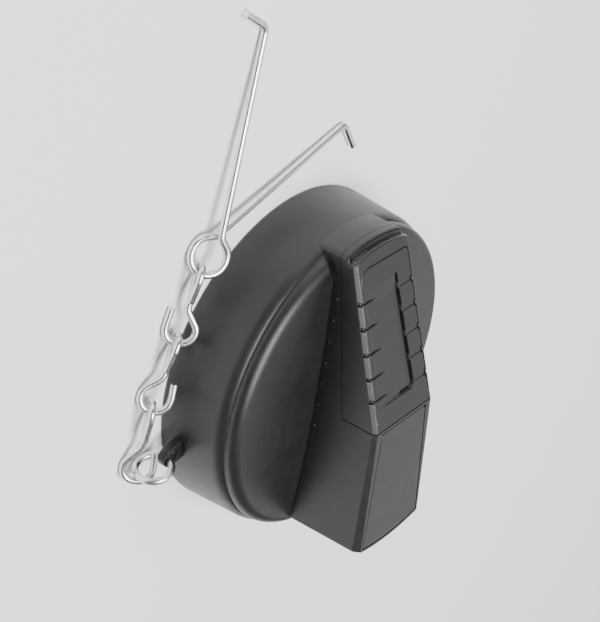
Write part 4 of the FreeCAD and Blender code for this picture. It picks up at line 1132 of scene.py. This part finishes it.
        every = np.arange(len(x))[:, None]
        levels = np.arange(roof)[None, :]
        count = line.shape[1]
        across = np.arange(count)[None, :]
        left = place(every, levels, np.array([[0]]))
        right = place(every, levels[:, ::-1], np.array([[count - 1]]))
        over = place(every, np.array([[roof]]), across)
        over[..., :3] = self.carved(over, line[:, 0, 1], flat, last)
        outer = np.concatenate([left, over, right], axis=1)
        inner = self.inside(bar, x, last, outer, roof, count)
        patch = Patchwork().grid(np.concatenate([outer, inner[:, ::-1]], axis=1), wrap_cols=True)
        patch.grid(place(np.array([[0]]), np.arange(roof + 1)[:, None], across))
        piece = patch.grid(np.stack([outer[-1], inner[-1]])).make("ribbed_slide")
        wardrobe.dress(Finish.SLIDE, piece)
        return piece

    def carved(self, over: Array, wall_z: Array, flat: Array, last: float) -> Array:
        """Push the roof's points in by the carving's depth, down on the flat, inwards too on the bevels."""
        px, py, pz = over[..., 0], over[..., 1], over[..., 2]
        cut = self.depth(px, py, flat[:, None])
        cut = cut * np.clip((pz - wall_z[:, None]) / 0.45, 0, 1) * ((px > -53.8) & (px < last - 0.1))
        steep = np.clip((np.abs(py) - flat[:, None]) / 0.9, 0, 1)
        sideways = py - np.sign(py) * cut * 0.75 * steep
        return np.stack([px, sideways, pz - cut * (1 - 0.35 * steep)], axis=-1)

    def inside(self, bar: BarForm, x: Array, last: float, outer: Array, side: int, count: int) -> Array:
        """The inner outline: the bottom in front of the hollow, and lips, walls and ceiling behind its front.

        Args:
            bar: The bar's form.
            x: The stations.
            last: The last station's x.
            outer: The outer outline's points.
            side: How many of them each side has.
            count: How many the roof has.

        Returns:
            One point for each outer one.
        """
        within = (x > self.front_wall - bar.front_r)[:, None]
        share_x = bar.front_share(x)[:, None]
        half = (bar.ramp_half(x) - self.wall)[:, None]
        has_lip = ((x > last - self.lip_l) & (x < last - 0.995))[:, None]
        lip = np.where(has_lip, self.lip_tip, half)
        outer_half = np.abs(outer[:, :1, 1])
        top_half = np.abs(outer[:, side:side + 1, 1])
        share = np.clip(outer[:, side:side + count, 1] / top_half, -1, 1)
        y_roof = share * np.where(within, half, outer_half)
        walls = np.concatenate([lip, lip, np.repeat(half, side - 2, axis=1)], axis=1)
        y_wall = -np.where(within, walls, outer_half)
        y = np.concatenate([y_wall, y_roof, -y_wall[:, ::-1]], axis=1)
        beside = np.repeat(top_half, side, axis=1)
        bent = np.concatenate([beside, share * top_half, beside], axis=1)
        moved = x[:, None] + share_x * bar.front_shift(bent)
        low = bar.slide_edge(moved) + self.foot_gap
        ceiling = bar.ramp_z(moved) - self.plate
        rung = np.concatenate([[0.0, -1.0, -1.0], np.linspace(0, 1, side - 2)[1:]])
        rung = np.concatenate([rung, np.ones(count), rung[::-1]])
        z = np.where(rung < 0, low + self.lip_h, low + self.lip_h + rung * (ceiling - low - self.lip_h))
        bottom = np.concatenate([[True], np.zeros(side * 2 + count - 2, bool), [True]])
        z = np.where(within & ~bottom, z, low)
        return spread(moved, y, z, 0)


class Stage:
    """The pale floor, the soft lights and the camera."""

    camera_place = (-0.32815, -0.39816, 0.27657)
    camera_right = (-0.1175, 0.6171, 0.7780)
    camera_up = (-0.8307, 0.3683, -0.4176)
    camera_back = (-0.5442, -0.6953, 0.4694)
    lens_mm = 101.23
    sensor_mm = 36.0
    aim = (0, 0, 0.02)
    floor_half = 3000.0
    floor_z = -0.15
    world_strength = 0.2

    def camera(self) -> None:
        """Set the camera at the photograph's place, with its roll."""
        data = bpy.data.cameras.new("photo_camera")
        data.lens = self.lens_mm
        data.sensor_width = self.sensor_mm
        camera = bpy.data.objects.new("photo_camera", data)
        axes = Matrix((self.camera_right, self.camera_up, self.camera_back)).transposed()
        camera.matrix_world = Matrix.Translation(self.camera_place) @ axes.to_4x4()
        bpy.context.scene.collection.objects.link(camera)
        bpy.context.scene.camera = camera

    def light(self, name: str, place: tuple[float, float, float], size: float, watts: float) -> None:
        """Add a square soft light that looks at the object.

        Args:
            name: The light's name.
            place: Where it stands, in metres.
            size: Its side, in metres.
            watts: Its power.
        """
        data = bpy.data.lights.new(name, "AREA")
        data.shape = "SQUARE"
        data.size = size
        data.energy = watts
        light = bpy.data.objects.new(name, data)
        light.location = place
        light.rotation_euler = (Vector(self.aim) - Vector(place)).to_track_quat("-Z", "Y").to_euler()
        bpy.context.scene.collection.objects.link(light)

    def floor(self) -> Piece:
        """Lay a large pale floor just under the rim."""
        span = np.linspace(-self.floor_half, self.floor_half, 9)
        floor = Patchwork().grid(spread(span, span[:, None], self.floor_z)).make("floor")
        if floor.data.polygons[0].normal.z < 0:
            floor.data.flip_normals()
        bench = Bench("pale_floor")
        colour = bench.blend(bench.noise(400.0, 2.0), (0.9, 0.9, 0.9), (0.93, 0.93, 0.93))
        looks = {"Base Color": colour, "Roughness": 0.9, "Specular IOR Level": 0.1}
        floor.data.materials.append(bench.dress(looks))
        return floor

    def world(self) -> None:
        """Fill the surroundings with an even pale light."""
        world = bpy.data.worlds.new("pale_world")
        world.use_nodes = True
        background = world.node_tree.nodes["Background"]
        background.inputs["Color"].default_value = (1, 1, 1, 1)
        background.inputs["Strength"].default_value = self.world_strength
        bpy.context.scene.world = world

    def build(self) -> None:
        """Set the whole stage."""
        self.world()
        self.floor()
        self.camera()
        self.light("key_light", (0.5, 1.1, 1.0), 1.8, 11.0)
        self.light("top_light", (-0.18, -0.35, 1.42), 0.9, 44.0)
        self.light("front_light", (-1.2, 0.2, 0.3), 0.8, 5.0)


def main() -> None:
    """Build each sub-assembly in order and report its pieces."""
    logging.basicConfig(level=logging.INFO, format="%(name)s: %(message)s")
    bar = BarForm()
    wardrobe = Wardrobe()
    for finish, nodes in NODES_OF.items():
        for node in nodes:
            wardrobe.dress(finish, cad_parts[node])
            LOG.info("dressed %s in %s", node, finish.value)
    fixed = CapCover().build(bar, wardrobe) + HandleBody().build(bar, wardrobe)
    for piece in fixed:
        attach(piece, "cap")
        LOG.info("built %s with %d faces", piece.name, len(piece.data.polygons))
    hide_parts("cover_shell")
    lid = LowEndLid().build(bar, wardrobe)
    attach(lid, "cap")
    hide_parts("handle_lid")
    LOG.info("built %s with %d faces", lid.name, len(lid.data.polygons))
    slide = SlideCover().build(bar, wardrobe)
    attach(slide, "lock_slide")
    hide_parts("slide_cover")
    LOG.info("built %s with %d faces", slide.name, len(slide.data.polygons))
    Stage().build()


if __name__ == "__main__":
    main()
